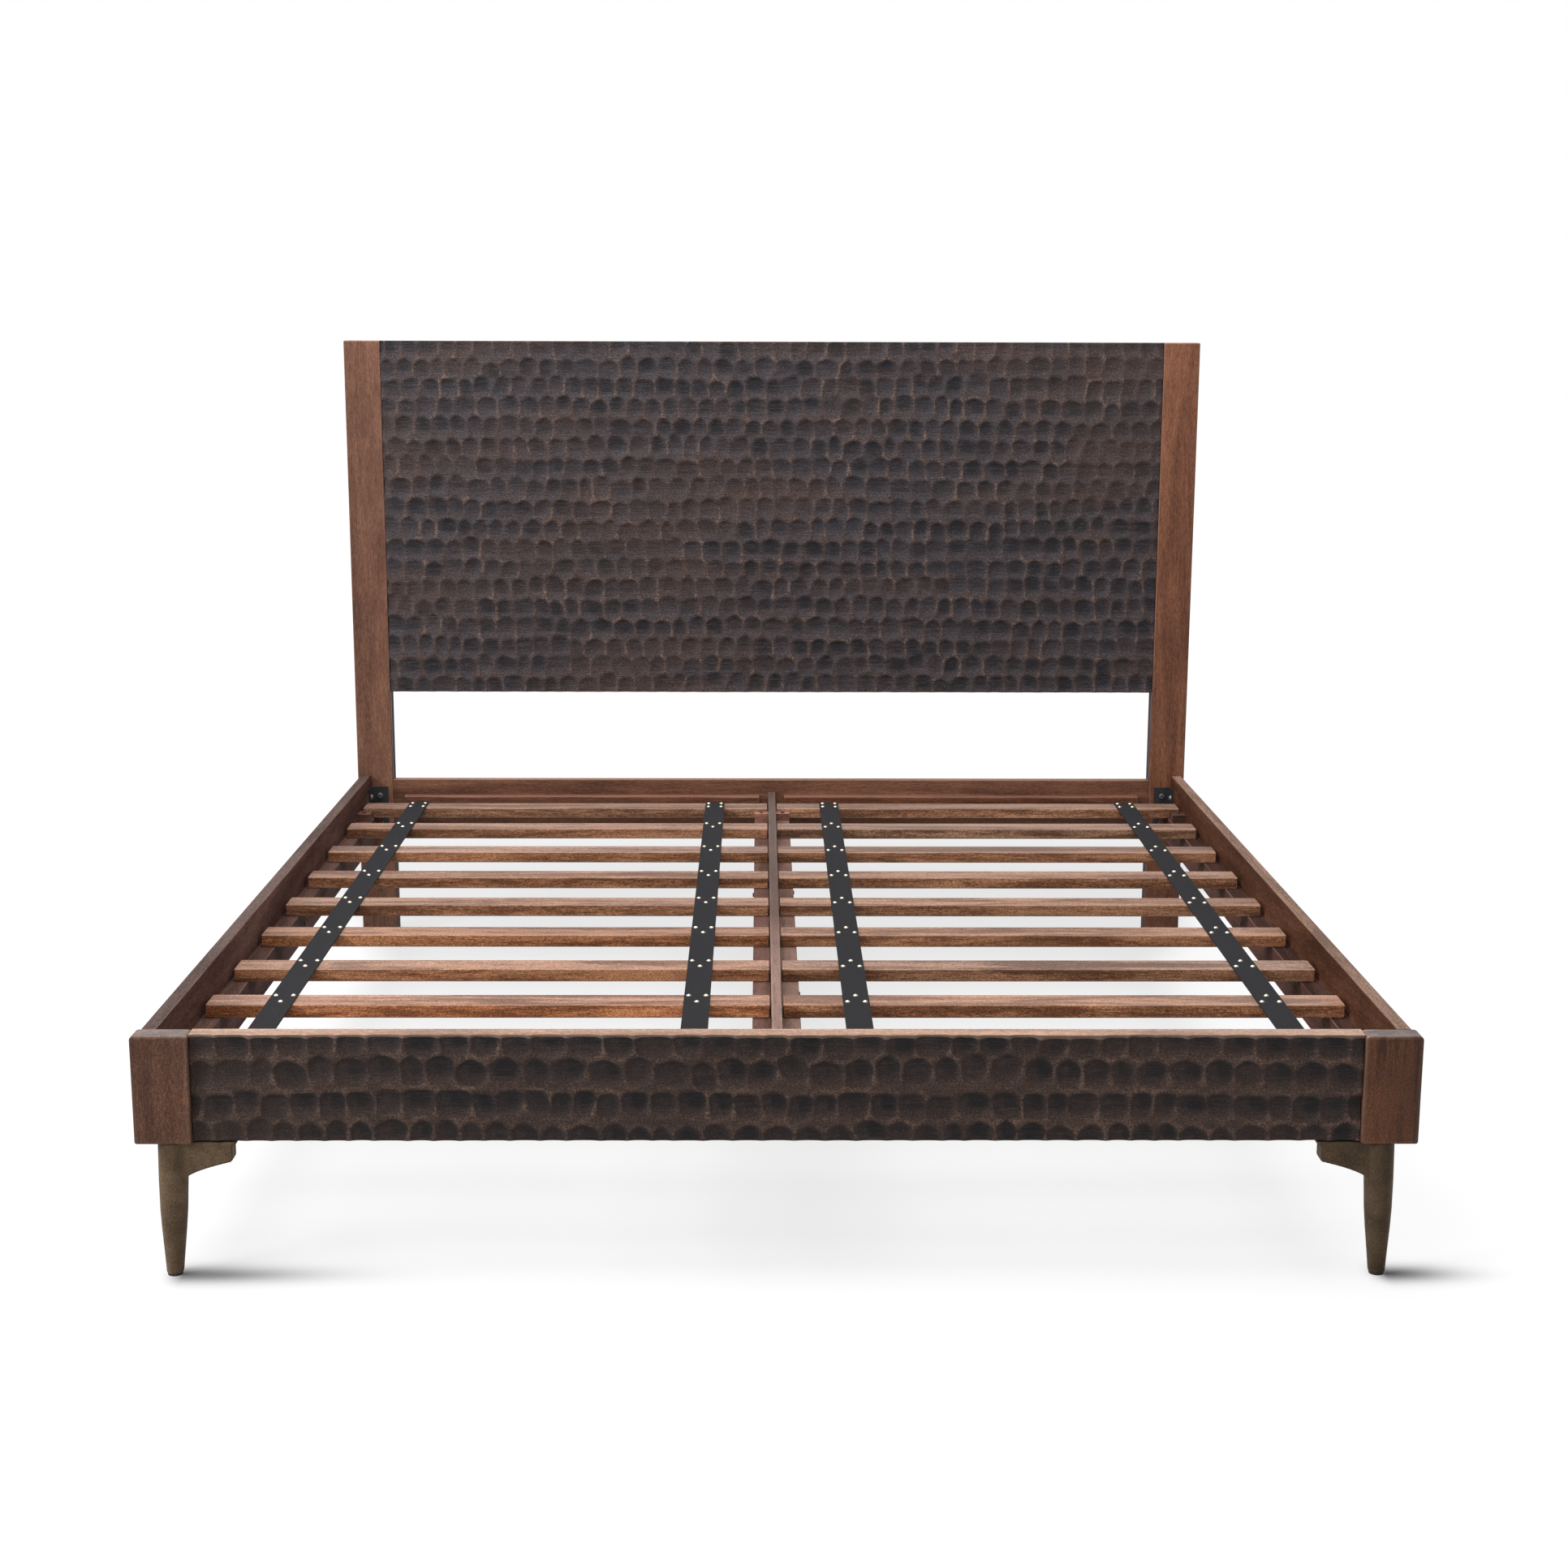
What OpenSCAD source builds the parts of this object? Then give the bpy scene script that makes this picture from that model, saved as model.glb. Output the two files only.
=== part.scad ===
// Carved wooden bed frame for a king mattress. Units are millimetres.
// X runs across the bed, the headboard stands at +Y, and Z is up from the floor.

/* [Mattress] */
// Width of the mattress
mattress_w = 1930; // [1500:5:2000]
// Length of the mattress
mattress_l = 2030; // [1880:5:2130]
// Room between the mattress and each side rail
side_room = 12.5; // [6:0.5:20]
// Room along the length, shared by both ends
end_room = 14; // [6:1:30]

/* [Headboard] */
// Height of the headboard above the floor
headboard_h = 1444; // [1300:1:1600]
// Width of a post
post_w = 85; // [80:1:110]
// Thickness of a post, front to back
post_t = 50; // [40:1:70]
// How far a post stands out past the side rail
post_proud = 7; // [0:0.5:12]
// Radius of the pad under a post
post_pad_r = 18; // [12:1:19]
// Height of the carved panel
panel_h = 834; // [600:1:880]
// Thickness of the carved panel
panel_t = 32; // [26:1:38]
// Thickness of the tongues at the panel's ends
tongue_t = 12; // [8:1:16]
// Depth of the tongues
tongue_d = 10; // [6:1:14]
// Length of the plain shoulder above and below a tongue
tongue_stop = 30; // [15:1:60]
// Height of the head rail
head_rail_h = 140; // [125:1:150]
// Thickness of the head rail
head_rail_t = 24; // [20:1:32]
// How far the head rail lies below the top of the side rails
head_rail_drop = 11; // [0:1:20]
// Thickness of the rails' tenons
tenon_t = 12; // [8:1:16]
// Depth of the rails' tenons
tenon_d = 20; // [12:1:24]
// Shoulder above and below a tenon
tenon_shoulder = 20; // [10:1:35]
// Depth of the head ledger, front to back
head_ledger_w = 28; // [20:1:35]
// Height of the head ledger
head_ledger_h = 30; // [20:1:40]
// Room between a head ledger and the post
head_ledger_gap = 30; // [20:1:60]

/* [Rails] */
// Height of a side rail
side_rail_h = 174; // [150:1:177]
// Thickness of a side rail
side_rail_t = 23.5; // [18:0.5:28]
// Height of the carved foot rail
foot_rail_h = 174; // [150:1:177]
// Thickness of the foot rail
foot_rail_t = 33; // [28:0.5:36]
// Width of a side ledger
ledger_w = 33.5; // [31:0.5:45]
// Height of a side ledger
ledger_h = 61; // [45:1:65]

/* [Foot corner] */
// Width of a foot block
foot_block_w = 90; // [85:1:120]
// Thickness of a foot block, front to back
foot_block_t = 40; // [38:1:60]
// Height of a foot block
foot_block_h = 177; // [177:1:200]
// How far a foot block stands out past the side rail
block_proud = 9; // [0:0.5:12]
// Length of the corner gusset along the foot rail
gusset_l = 107; // [104:1:120]
// Length of the corner gusset along the side rail
gusset_d = 95; // [90:1:120]

/* [Front legs] */
// Height from the floor to the underside of a foot block
leg_h = 227; // [180:1:280]
// Radius of the leg at the floor
foot_r = 13.5; // [12.5:0.5:16]
// Radius of the leg at its neck
neck_r = 23.2; // [20:0.2:26]
// Distance of the neck, where the arms leave the shaft, below the foot block
neck_drop = 65; // [55:1:80]
// Outward lean of the leg in degrees
leg_lean = 1.7; // [0:0.1:3]
// Distance from the foot block's outer face to the leg's centre at its top
leg_inset_x = 54; // [50:1:60]
// Distance from the foot block's back face to the leg's centre
leg_inset_y = 13; // [10:1:13]
// Length of the front arm from the leg's centre
arm_l = 96; // [80:1:100]
// Length of the rear arm from the leg's centre
rear_arm_l = 84; // [70:1:95]
// Width of the arms
arm_w = 30; // [24:1:38]
// Depth of an arm at its end
arm_end_h = 35; // [28:1:45]
// Rounding of an arm's lower end
arm_end_r = 6; // [3:0.5:9]
// Thickness of the leg's top plate
leg_plate_t = 7; // [5:0.5:9]
// How far the top plate stands out past the arms' ends
plate_lip = 6; // [3:1:10]
// How far the top plate stands out in front of the front arm
plate_front = 1; // [0.5:0.5:4]
// Distance from the leg's centre to the top plate's outer edges
plate_edge = 24; // [22:0.5:25]
// Radius of the glide under a front leg
glide_r = 12; // [9:0.5:13.5]
// Thickness of the glides
glide_t = 3; // [2:0.5:5]

/* [Slats] */
// Number of slats on each side
slat_count = 9; // [7:1:11]
// Width of a slat
slat_w = 61.5; // [54:0.5:80]
// Thickness of a slat
slat_t = 23; // [17:0.5:30]
// Depth of the slat tops below the top of the side rails
well_depth = 47.5; // [40:0.5:60]
// Distance from the headboard to the centre of the first slat
slat_first = 133; // [120:1:150]
// Distance from the foot rail to the centre of the last slat
slat_last = 87; // [80:1:100]
// Gap between a slat's outer end and the side rail
slat_side_gap = 8.5; // [3:0.5:12]
// Gap between a slat's inner end and the centre beam
slat_mid_gap = 2.5; // [1:0.5:6]
// Length of the outer stop blocks along the bed
stop_l = 42; // [25:1:55]
// Width of the outer stop blocks
stop_w = 30.5; // [24:0.5:31]
// Length of the inner stop blocks along the bed
mid_stop_l = 25; // [18:1:40]
// Height of the stop blocks
stop_h = 16.5; // [8:0.5:20]
// Gap between the first slat and its stop blocks
stop_gap = 1.5; // [0.5:0.5:4]

/* [Straps and nails] */
// Width of a strap
strap_w = 45; // [42:1:60]
// Thickness of a strap
strap_t = 2.5; // [1.5:0.5:4]
// Distance from a slat's outer end to the outer strap's centre
strap_from_end = 125; // [80:1:200]
// Distance from the bed's centre line to the inner strap's centre
strap_from_mid = 136; // [80:1:250]
// Distance of the side nails from the strap's centre line
nail_side = 15; // [12:0.5:16]
// Distance of the nails from the slat's centre line
nail_row = 18; // [12:0.5:20]
// Radius of a nail's dome
nail_head_r = 4.5; // [3.5:0.1:5]
// Height of a nail's dome
nail_head_h = 2.6; // [1.5:0.1:3]
// Radius of a nail's shank
nail_shank_r = 1; // [0.8:0.1:1.5]
// Length of a nail's shank below its dome
nail_l = 14; // [10:1:16]

/* [Centre beam] */
// Thickness of the centre beam
beam_t = 18; // [15:0.5:26]
// Height of the centre beam
beam_h = 100; // [85:1:115]
// How far the beam's top stands above the slats
beam_rise = 7.5; // [0:0.5:12]
// Width of a centre cleat
cleat_w = 32; // [26:1:42]
// Height of a centre cleat
cleat_h = 30; // [22:1:36]
// How far the hangers' tops lie below the slat tops
hanger_drop = 23; // [18:1:30]
// Thickness of the hangers' steel
hanger_t = 3; // [2:0.5:5]
// Width of a hanger's back plate
hanger_w = 56; // [54:1:66]
// How far a hanger reaches along the beam
hanger_reach = 32; // [25:1:45]
// Side of a support leg's square section
support_w = 45; // [42:1:56]
// Distance from the headboard to the first support leg
support_1 = 690; // [600:1:780]
// Distance from the headboard to the second support leg
support_2 = 1370; // [1280:1:1450]
// Travel of the levelling feet
level_travel = 12; // [6:1:20]
// Radius of a levelling foot's pad
level_pad_r = 20; // [16:1:24]
// Thickness of a levelling foot's pad
level_pad_t = 6; // [4:1:8]
// Radius of a levelling foot's stem
level_stem_r = 5; // [4:0.5:6]
// Length of a levelling foot's stem
level_stem_l = 45; // [35:1:60]

/* [Corner brackets] */
// Height of a corner bracket
bracket_h = 112; // [95:1:116]
// Width of the flange on the post or foot block
bracket_w = 42; // [34:1:50]
// Reach of the flange along the side rail
bracket_reach = 34; // [31:1:38]
// Thickness of the bracket's steel
bracket_t = 4; // [3:0.5:6]
// Distance of the bracket's top below the top of the side rails
bracket_drop = 28; // [25:1:34]
// Distance of the bolts from the bracket's top and bottom
bracket_bolt_end = 22; // [18:1:30]

/* [Fasteners] */
// Bolt diameter
bolt_d = 8; // [6:1:8]
// Diameter of a bolt's head
bolt_head_d = 14; // [12:0.5:14.5]
// Height of a bolt's head
bolt_head_h = 4.5; // [3.5:0.5:5.5]
// Depth that a bracket's bolt reaches into the wood
bolt_grip = 15; // [12:1:15]
// Wood screw diameter
screw_d = 4.5; // [3.5:0.5:5]
// Diameter of a wood screw's head
screw_head_d = 8.5; // [7.5:0.5:9]
// Height of a wood screw's head
screw_head_h = 2.5; // [1.5:0.5:3]
// Depth that a wood screw reaches into the second piece
screw_bite = 11; // [8:0.5:12]
// Depth that a leg's screw reaches into the gusset
leg_screw_bite = 24; // [18:1:26]

/* [Hidden] */
$fn = 48;
// Clearance all round a tongue or tenon in its slot
joint_fit = 0.2;
// Clearance round a bolt, screw, nail or stem in its hole
hole_fit = 0.05;
// Clearance at each side of the beam in its hangers and support legs
beam_fit = 0.3;
// Room past the end of a fastener or stem in a blind hole
hole_end = 2;
// Room between two frame pieces that end near each other
end_gap = 2;
// How far a cutting shape runs past the face that it opens
over = 1;
// Small moves of the hand-placed slats towards the headboard
slat_drift = [0, 6, -1, -5, -5, -5, -9, 0, 0];
socket_d = 5.5;
socket_depth = 3;
nut_d = 15;
nut_h = 6.5;
ledger_screws = 7;
cleat_screws = 6;
head_ledger_screws = 4;
// Half the distance along the beam between its left and right cleat screws
cleat_stagger = 10;
// Distance from a strip's end to its first screw
screw_inset = 60;
hanger_screw_end = 14;
// Screws in a leg's top plate, from the leg's centre
leg_screw_spots = [[40, 32], [68, 28], [30, 66]];

half_w = mattress_w / 2 + side_room;
rail_outer = half_w + side_rail_t;
post_outer = rail_outer + post_proud;
post_inner = post_outer - post_w;
block_outer = rail_outer + block_proud;
block_inner = block_outer - foot_block_w;

inner_l = mattress_l + end_room;
overall_l = inner_l + foot_block_t + post_t;
head_y = overall_l / 2 - post_t;
foot_y = head_y - inner_l;

rail_top = leg_h + foot_block_h;
slat_top = rail_top - well_depth;
ledger_top = slat_top - slat_t;
panel_bottom = headboard_h - panel_h;
head_rail_top = rail_top - head_rail_drop;
beam_top = slat_top + beam_rise;
beam_bottom = beam_top - beam_h;
cleat_bottom = ledger_top - cleat_h;
hanger_top = slat_top - hanger_drop;
hanger_bottom = beam_bottom - hanger_t;
bracket_top = rail_top - bracket_drop;
bracket_bottom = bracket_top - bracket_h;
gusset_top = min(bracket_bottom, ledger_top - ledger_h) - end_gap;

slat_outer = half_w - slat_side_gap;
slat_inner = beam_t / 2 + slat_mid_gap;
slat_pitch = (inner_l - slat_first - slat_last) / (slat_count - 1);
strap_outer = slat_outer - strap_from_end;
ledger_end = bracket_reach + end_gap;
cleat_end = hanger_t + hanger_reach + end_gap;
cleat_side = beam_t / 2 + cleat_w;
stop_front = slat_first + slat_w / 2 + stop_gap;

leg_x = block_outer - leg_inset_x;
leg_y = foot_y - leg_inset_y;
shaft_h = leg_h - glide_t;
foot_shift = shaft_h * tan(leg_lean);

bolt_hole_r = bolt_d / 2 + hole_fit;
screw_hole_r = screw_d / 2 + hole_fit;
stem_hole_r = level_stem_r + hole_fit;
bracket_bolt_z = [bracket_top - bracket_bolt_end, bracket_bottom + bracket_bolt_end];
// Bolt centres on a bracket's two flanges, from the inside corner of the frame
flange_mid = (bracket_t + bracket_w) / 2;
reach_mid = (bracket_t + bracket_reach) / 2 + end_gap;
hanger_screw_x = (hanger_w / 2 + beam_t / 2 + beam_fit + hanger_t) / 2;
hanger_screw_z = [hanger_bottom + 2 * hanger_screw_end, hanger_top - hanger_screw_end];
head_ledger_z = slat_top - head_ledger_h / 2;
side_ledger_z = ledger_top - ledger_h / 2;
cleat_z = ledger_top - cleat_h / 2;
support_bottom = level_pad_t + level_travel + end_gap;
support_bolt_z = (beam_bottom + cleat_bottom) / 2;
support_places = [head_y - support_1, head_y - support_2];

wood_red = [0.36, 0.19, 0.13];
wood_rail = [0.38, 0.25, 0.19];
wood_dark = [0.14, 0.10, 0.09];
wood_slat = [0.55, 0.38, 0.28];
wood_beam = [0.42, 0.32, 0.29];
steel_black = [0.10, 0.10, 0.11];
steel_zinc = [0.62, 0.61, 0.58];
bronze = [0.36, 0.30, 0.21];
brass = [0.85, 0.78, 0.58];
web_black = [0.16, 0.17, 0.19];
pad_black = [0.08, 0.08, 0.08];

// Places that repeat

function slat_move(i) = i <= len(slat_drift) ? slat_drift[i - 1] : 0;
function slat_y(i) = head_y - slat_first - (i - 1) * slat_pitch + slat_move(i);

// Evenly spaced places from low to high
function spread(low, high, count) =
    [for (i = [0:count - 1]) low + (high - low) * i / (count - 1)];

ledger_screw_y = spread(foot_y + ledger_end + screw_inset,
                        head_y - ledger_end - screw_inset, ledger_screws);
cleat_screw_y = spread(foot_y + cleat_end + screw_inset,
                       head_y - cleat_end - screw_inset, cleat_screws);
head_ledger_screw_x = spread(hanger_w / 2 + screw_inset,
                             post_inner - head_ledger_gap - screw_inset,
                             head_ledger_screws);

// Nails on one slat, from the strap's centre line and the slat's centre line
corner_nails = [
    [-nail_side, nail_row], [nail_side, nail_row],
    [-nail_side, -nail_row], [nail_side, -nail_row]
];
left_nails = [[-nail_side, nail_row], [nail_side, nail_row], [0, -nail_row]];
right_nails = [[0, nail_row], [-nail_side, -nail_row], [nail_side, -nail_row]];
function nail_spots(side, i) =
    i == 1 || i == slat_count ? corner_nails : side < 0 ? left_nails : right_nails;
function strap_places(side) = [side * strap_outer, side * strap_from_mid];

// Centres of the outer and inner stop blocks on the left
stop_places = [
    [-half_w + stop_w / 2, head_y - stop_front - stop_l / 2],
    [-(beam_t + cleat_w) / 2, head_y - stop_front - mid_stop_l / 2]
];

// Helpers

module block(low, high) {
    translate(low) cube(high - low);
}

// Draws the shape of the left side, or its mirror image on the right
module at_side(side) {
    if (side > 0) mirror([1, 0, 0]) children();
    else children();
}

// Draws the shape of the head end, whose face is Y = 0, at either end of the bed
module at_end(end) {
    if (end > 0) translate([0, head_y, 0]) children();
    else translate([0, foot_y, 0]) mirror([0, 1, 0]) children();
}

// Turns +Z to a level direction: 0 is +X, 90 is +Y, 180 is -X and 270 is -Y
module level(at, turn) {
    translate(at) rotate([0, 90, turn]) children();
}

// A hole that starts just before a point and runs a length past it
module hole(at, turn, r, l) {
    level(at, turn) translate([0, 0, -over]) cylinder(r = r, h = l + over);
}

// A pan-head wood screw, driven along +Z from the origin
module screw(l) {
    cylinder(d = screw_d, h = l);
    translate([0, 0, -screw_head_h]) cylinder(d = screw_head_d, h = screw_head_h);
}

// A button-head bolt with a hexagon socket, driven along +Z from the origin
module bolt(l) {
    cylinder(d = bolt_d, h = l);
    difference() {
        translate([0, 0, -bolt_head_h])
            cylinder(d1 = bolt_head_d * 0.7, d2 = bolt_head_d, h = bolt_head_h);
        translate([0, 0, -bolt_head_h - over]) cylinder(d = socket_d, h = socket_depth + over, $fn = 6);
    }
}

// Headboard

// The panel's left tongue, grown by a clearance
module panel_tongue(grow) {
    mid = head_y + panel_t / 2;
    block([-post_inner - tongue_d - grow, mid - tongue_t / 2 - grow, panel_bottom + tongue_stop - grow],
          [-post_inner + over, mid + tongue_t / 2 + grow, headboard_h - tongue_stop + grow]);
}

// The left tenon of a rail, grown by a clearance
module rail_tenon(shoulder_x, mid_y, top, height, grow) {
    block([-shoulder_x - tenon_d - grow, mid_y - tenon_t / 2 - grow, top - height + tenon_shoulder - grow],
          [-shoulder_x + over, mid_y + tenon_t / 2 + grow, top - tenon_shoulder + grow]);
}

module head_rail_tenon(grow) {
    rail_tenon(post_inner, head_y + head_rail_t / 2, head_rail_top, head_rail_h, grow);
}

module headboard_post(side) {
    color(wood_red) at_side(side) difference() {
        block([-post_outer, head_y, glide_t], [-post_inner, head_y + post_t, headboard_h]);
        panel_tongue(joint_fit);
        head_rail_tenon(joint_fit);
        for (z = bracket_bolt_z)
            hole([-half_w + flange_mid, head_y, z], 90, bolt_hole_r, bolt_grip + hole_end);
    }
}

module headboard_panel() {
    color(wood_dark) {
        block([-post_inner, head_y, panel_bottom], [post_inner, head_y + panel_t, headboard_h]);
        for (side = [-1, 1]) at_side(side) panel_tongue(0);
    }
}

module head_rail() {
    color(wood_red) difference() {
        union() {
            block([-post_inner, head_y, head_rail_top - head_rail_h],
                  [post_inner, head_y + head_rail_t, head_rail_top]);
            for (side = [-1, 1]) at_side(side) head_rail_tenon(0);
        }
        for (side = [-1, 1]) {
            for (x = head_ledger_screw_x)
                hole([side * x, head_y, head_ledger_z], 90, screw_hole_r, screw_bite + hole_end);
            for (z = hanger_screw_z)
                hole([side * hanger_screw_x, head_y, z], 90, screw_hole_r, screw_bite + hole_end);
        }
    }
}

module head_ledger(side) {
    color(wood_rail) at_side(side) difference() {
        block([-post_inner + head_ledger_gap, head_y - head_ledger_w, slat_top - head_ledger_h],
              [-hanger_w / 2 - end_gap, head_y, slat_top]);
        for (x = head_ledger_screw_x)
            hole([-x, head_y - head_ledger_w, head_ledger_z], 90, screw_hole_r, head_ledger_w + over);
    }
}

// Side rails and ledgers

module side_rail(side) {
    color(wood_rail) at_side(side) difference() {
        block([-rail_outer, foot_y, rail_top - side_rail_h], [-half_w, head_y, rail_top]);
        for (y = ledger_screw_y)
            hole([-half_w, y, side_ledger_z], 180, screw_hole_r, screw_bite + hole_end);
        for (z = bracket_bolt_z, y = [head_y - reach_mid, foot_y + reach_mid])
            hole([-half_w, y, z], 180, bolt_hole_r, bolt_grip + hole_end);
    }
}

module side_ledger(side) {
    color(wood_rail) at_side(side) difference() {
        block([-half_w, foot_y + ledger_end, ledger_top - ledger_h],
              [-half_w + ledger_w, head_y - ledger_end, ledger_top]);
        for (y = ledger_screw_y)
            hole([-half_w + ledger_w, y, side_ledger_z], 180, screw_hole_r, ledger_w + over);
        stop_screw_hole(stop_places[0]);
    }
}

// The hole that a stop block's screw fills in the strip below the block
module stop_screw_hole(place) {
    translate([place[0], place[1], ledger_top - screw_bite - hole_end])
        cylinder(r = screw_hole_r, h = screw_bite + hole_end + over);
}

// Foot frame

module foot_rail_tenon(grow) {
    rail_tenon(block_inner, foot_y - foot_rail_t / 2, rail_top, foot_rail_h, grow);
}

module foot_block(side) {
    color(wood_red) at_side(side) difference() {
        block([-block_outer, foot_y - foot_block_t, leg_h], [-block_inner, foot_y, rail_top]);
        foot_rail_tenon(joint_fit);
        for (z = bracket_bolt_z)
            hole([-half_w + flange_mid, foot_y, z], 270, bolt_hole_r, bolt_grip + hole_end);
    }
}

module foot_rail() {
    color(wood_dark) difference() {
        union() {
            block([-block_inner, foot_y - foot_rail_t, rail_top - foot_rail_h],
                  [block_inner, foot_y, rail_top]);
            for (side = [-1, 1]) at_side(side) foot_rail_tenon(0);
        }
        for (side = [-1, 1], z = hanger_screw_z)
            hole([side * hanger_screw_x, foot_y, z], 270, screw_hole_r, screw_bite + hole_end);
    }
}

module corner_gusset(side) {
    color(wood_rail) at_side(side) difference() {
        translate([-half_w, foot_y, leg_h]) linear_extrude(gusset_top - leg_h) polygon([
            [0, 0], [gusset_l, 0], [gusset_l, gusset_d / 3], [gusset_l / 2, gusset_d], [0, gusset_d]
        ]);
        for (spot = leg_screw_spots)
            translate([-leg_x + spot[0], leg_y + spot[1], leg_h - over])
                cylinder(r = screw_hole_r, h = leg_screw_bite + hole_end + over);
    }
}

// Cast front legs, each drawn from the centre of its top

// Underside of an arm: it rises fast at the neck and flattens out towards the end
function arm_under(l, root) = [for (i = [0:10])
    [root + (l - root) * i / 10, -neck_drop + (neck_drop - arm_end_h) * pow(i / 10, 0.6)]];

module arm(l) {
    root = sqrt(neck_r * neck_r - arm_w * arm_w / 4);
    rotate([90, 0, 0]) linear_extrude(arm_w, center = true)
        polygon(concat([[0, 0], [0, -neck_drop]], arm_under(l - arm_end_r, root),
            [for (a = [18:18:90]) [l - arm_end_r * (1 - sin(a)), -arm_end_h + arm_end_r * (1 - cos(a))]],
            [[l, 0]]));
}

module leg_shaft() {
    rotate_extrude() polygon([
        [0, 0], [plate_edge * 0.985, 0], [neck_r, -neck_drop], [neck_r * 0.94, -shaft_h * 0.52],
        [foot_r + (neck_r - foot_r) * 0.62, -shaft_h * 0.67],
        [foot_r + (neck_r - foot_r) * 0.25, -shaft_h * 0.86], [foot_r, -shaft_h],
        [foot_r, -shaft_h - foot_r], [0, -shaft_h - foot_r]
    ]);
}

module leg_plate() {
    translate([0, 0, -leg_plate_t]) linear_extrude(leg_plate_t) polygon([
        [-plate_edge, plate_edge / 6], [-plate_edge / 3, -arm_w / 2 - plate_front],
        [arm_l + plate_lip, -arm_w / 2 - plate_front], [arm_l + plate_lip, arm_w / 2],
        [arm_w, rear_arm_l + plate_lip], [-plate_edge, rear_arm_l + plate_lip]
    ]);
}

module front_leg(side) {
    color(bronze) at_side(side) translate([-leg_x, leg_y, leg_h]) difference() {
        union() {
            intersection() {
                rotate([0, leg_lean, 0]) leg_shaft();
                block([-neck_r * 3, -neck_r * 2, -shaft_h], [neck_r * 2, neck_r * 2, 0]);
            }
            arm(arm_l);
            rotate([0, 0, 90]) arm(rear_arm_l);
            leg_plate();
        }
        for (spot = leg_screw_spots) translate([spot[0], spot[1], -leg_plate_t - over])
            cylinder(r = screw_hole_r, h = leg_plate_t + 2 * over);
    }
}

module floor_glides() {
    color(pad_black) for (side = [-1, 1]) at_side(side) {
        translate([-leg_x - foot_shift, leg_y, 0]) cylinder(r = glide_r, h = glide_t);
        translate([-post_outer + post_w / 2, head_y + post_t / 2, 0])
            cylinder(r = post_pad_r, h = glide_t);
    }
}

// Corner brackets and bolts

module corner_bracket(side, end) {
    color(steel_black) at_side(side) at_end(end) difference() {
        union() {
            block([-half_w, -bracket_t, bracket_bottom], [-half_w + bracket_w, 0, bracket_top]);
            block([-half_w, -bracket_reach, bracket_bottom], [-half_w + bracket_t, 0, bracket_top]);
        }
        for (z = bracket_bolt_z) {
            hole([-half_w + flange_mid, -bracket_t, z], 90, bolt_hole_r, bracket_t + over);
            hole([-half_w + bracket_t, -reach_mid, z], 180, bolt_hole_r, bracket_t + over);
        }
    }
}

// Four bolts of one corner bracket
module bracket_bolts(side, end) {
    at_side(side) at_end(end) for (z = bracket_bolt_z) {
        level([-half_w + flange_mid, -bracket_t, z], 90) bolt(bracket_t + bolt_grip);
        level([-half_w + bracket_t, -reach_mid, z], 180) bolt(bracket_t + bolt_grip);
    }
}

module frame_bolts() {
    color(steel_zinc) {
        for (side = [-1, 1], end = [-1, 1]) bracket_bolts(side, end);
        for (y = support_places) {
            level([-support_w / 2, y, support_bolt_z], 0) bolt(support_w + nut_h + end_gap);
            level([support_w / 2, y, support_bolt_z], 0) difference() {
                cylinder(d = nut_d, h = nut_h, $fn = 6);
                translate([0, 0, -over]) cylinder(r = bolt_hole_r, h = nut_h + 2 * over);
            }
        }
    }
}

// Centre beam

module centre_beam() {
    color(wood_beam) difference() {
        block([-beam_t / 2, foot_y + hanger_t, beam_bottom], [beam_t / 2, head_y - hanger_t, beam_top]);
        for (y = cleat_screw_y, side = [-1, 1])
            hole([side * beam_t / 2, y + side * cleat_stagger, cleat_z], side < 0 ? 0 : 180,
                 screw_hole_r, screw_bite + hole_end);
        for (y = support_places)
            hole([-beam_t / 2, y, support_bolt_z], 0, bolt_hole_r, beam_t + over);
    }
}

module centre_cleat(side) {
    color(wood_beam) at_side(side) difference() {
        block([-cleat_side, foot_y + cleat_end, cleat_bottom], [-beam_t / 2, head_y - cleat_end, ledger_top]);
        for (y = cleat_screw_y)
            hole([-cleat_side, y + side * cleat_stagger, cleat_z], 0, screw_hole_r, cleat_w + over);
        stop_screw_hole(stop_places[1]);
    }
}

// A steel shoe: a back plate, two cheeks and a seat under the beam
module beam_hanger(end) {
    cheek = beam_t / 2 + beam_fit;
    reach = hanger_t + hanger_reach;
    color(steel_black) at_end(end) difference() {
        union() {
            block([-hanger_w / 2, -hanger_t, hanger_bottom], [hanger_w / 2, 0, hanger_top]);
            block([-cheek - hanger_t, -reach, hanger_bottom], [cheek + hanger_t, 0, beam_bottom]);
            for (side = [-1, 1]) at_side(side)
                block([-cheek - hanger_t, -reach, hanger_bottom], [-cheek, 0, ledger_top]);
        }
        for (side = [-1, 1], z = hanger_screw_z)
            hole([side * hanger_screw_x, -hanger_t, z], 90, screw_hole_r, hanger_t + over);
    }
}

// A leg whose fork straddles the beam and stands under both cleats
module support_leg(y) {
    half = support_w / 2;
    slot = beam_t / 2 + beam_fit;
    color(wood_rail) translate([0, y, 0]) difference() {
        block([-half, -half, support_bottom], [half, half, cleat_bottom]);
        block([-slot, -half - over, beam_bottom], [slot, half + over, cleat_bottom + over]);
        hole([-half, 0, support_bolt_z], 0, bolt_hole_r, support_w + over);
        translate([0, 0, support_bottom - over])
            cylinder(r = stem_hole_r, h = over + level_pad_t + level_stem_l + level_travel + hole_end - support_bottom);
    }
}

module leveller(y) {
    color(steel_zinc) translate([0, y, 0]) {
        cylinder(r = level_pad_r, h = level_pad_t);
        cylinder(r = level_stem_r, h = level_pad_t + level_stem_l);
    }
}

// Slats, stop blocks, straps and nails

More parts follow.
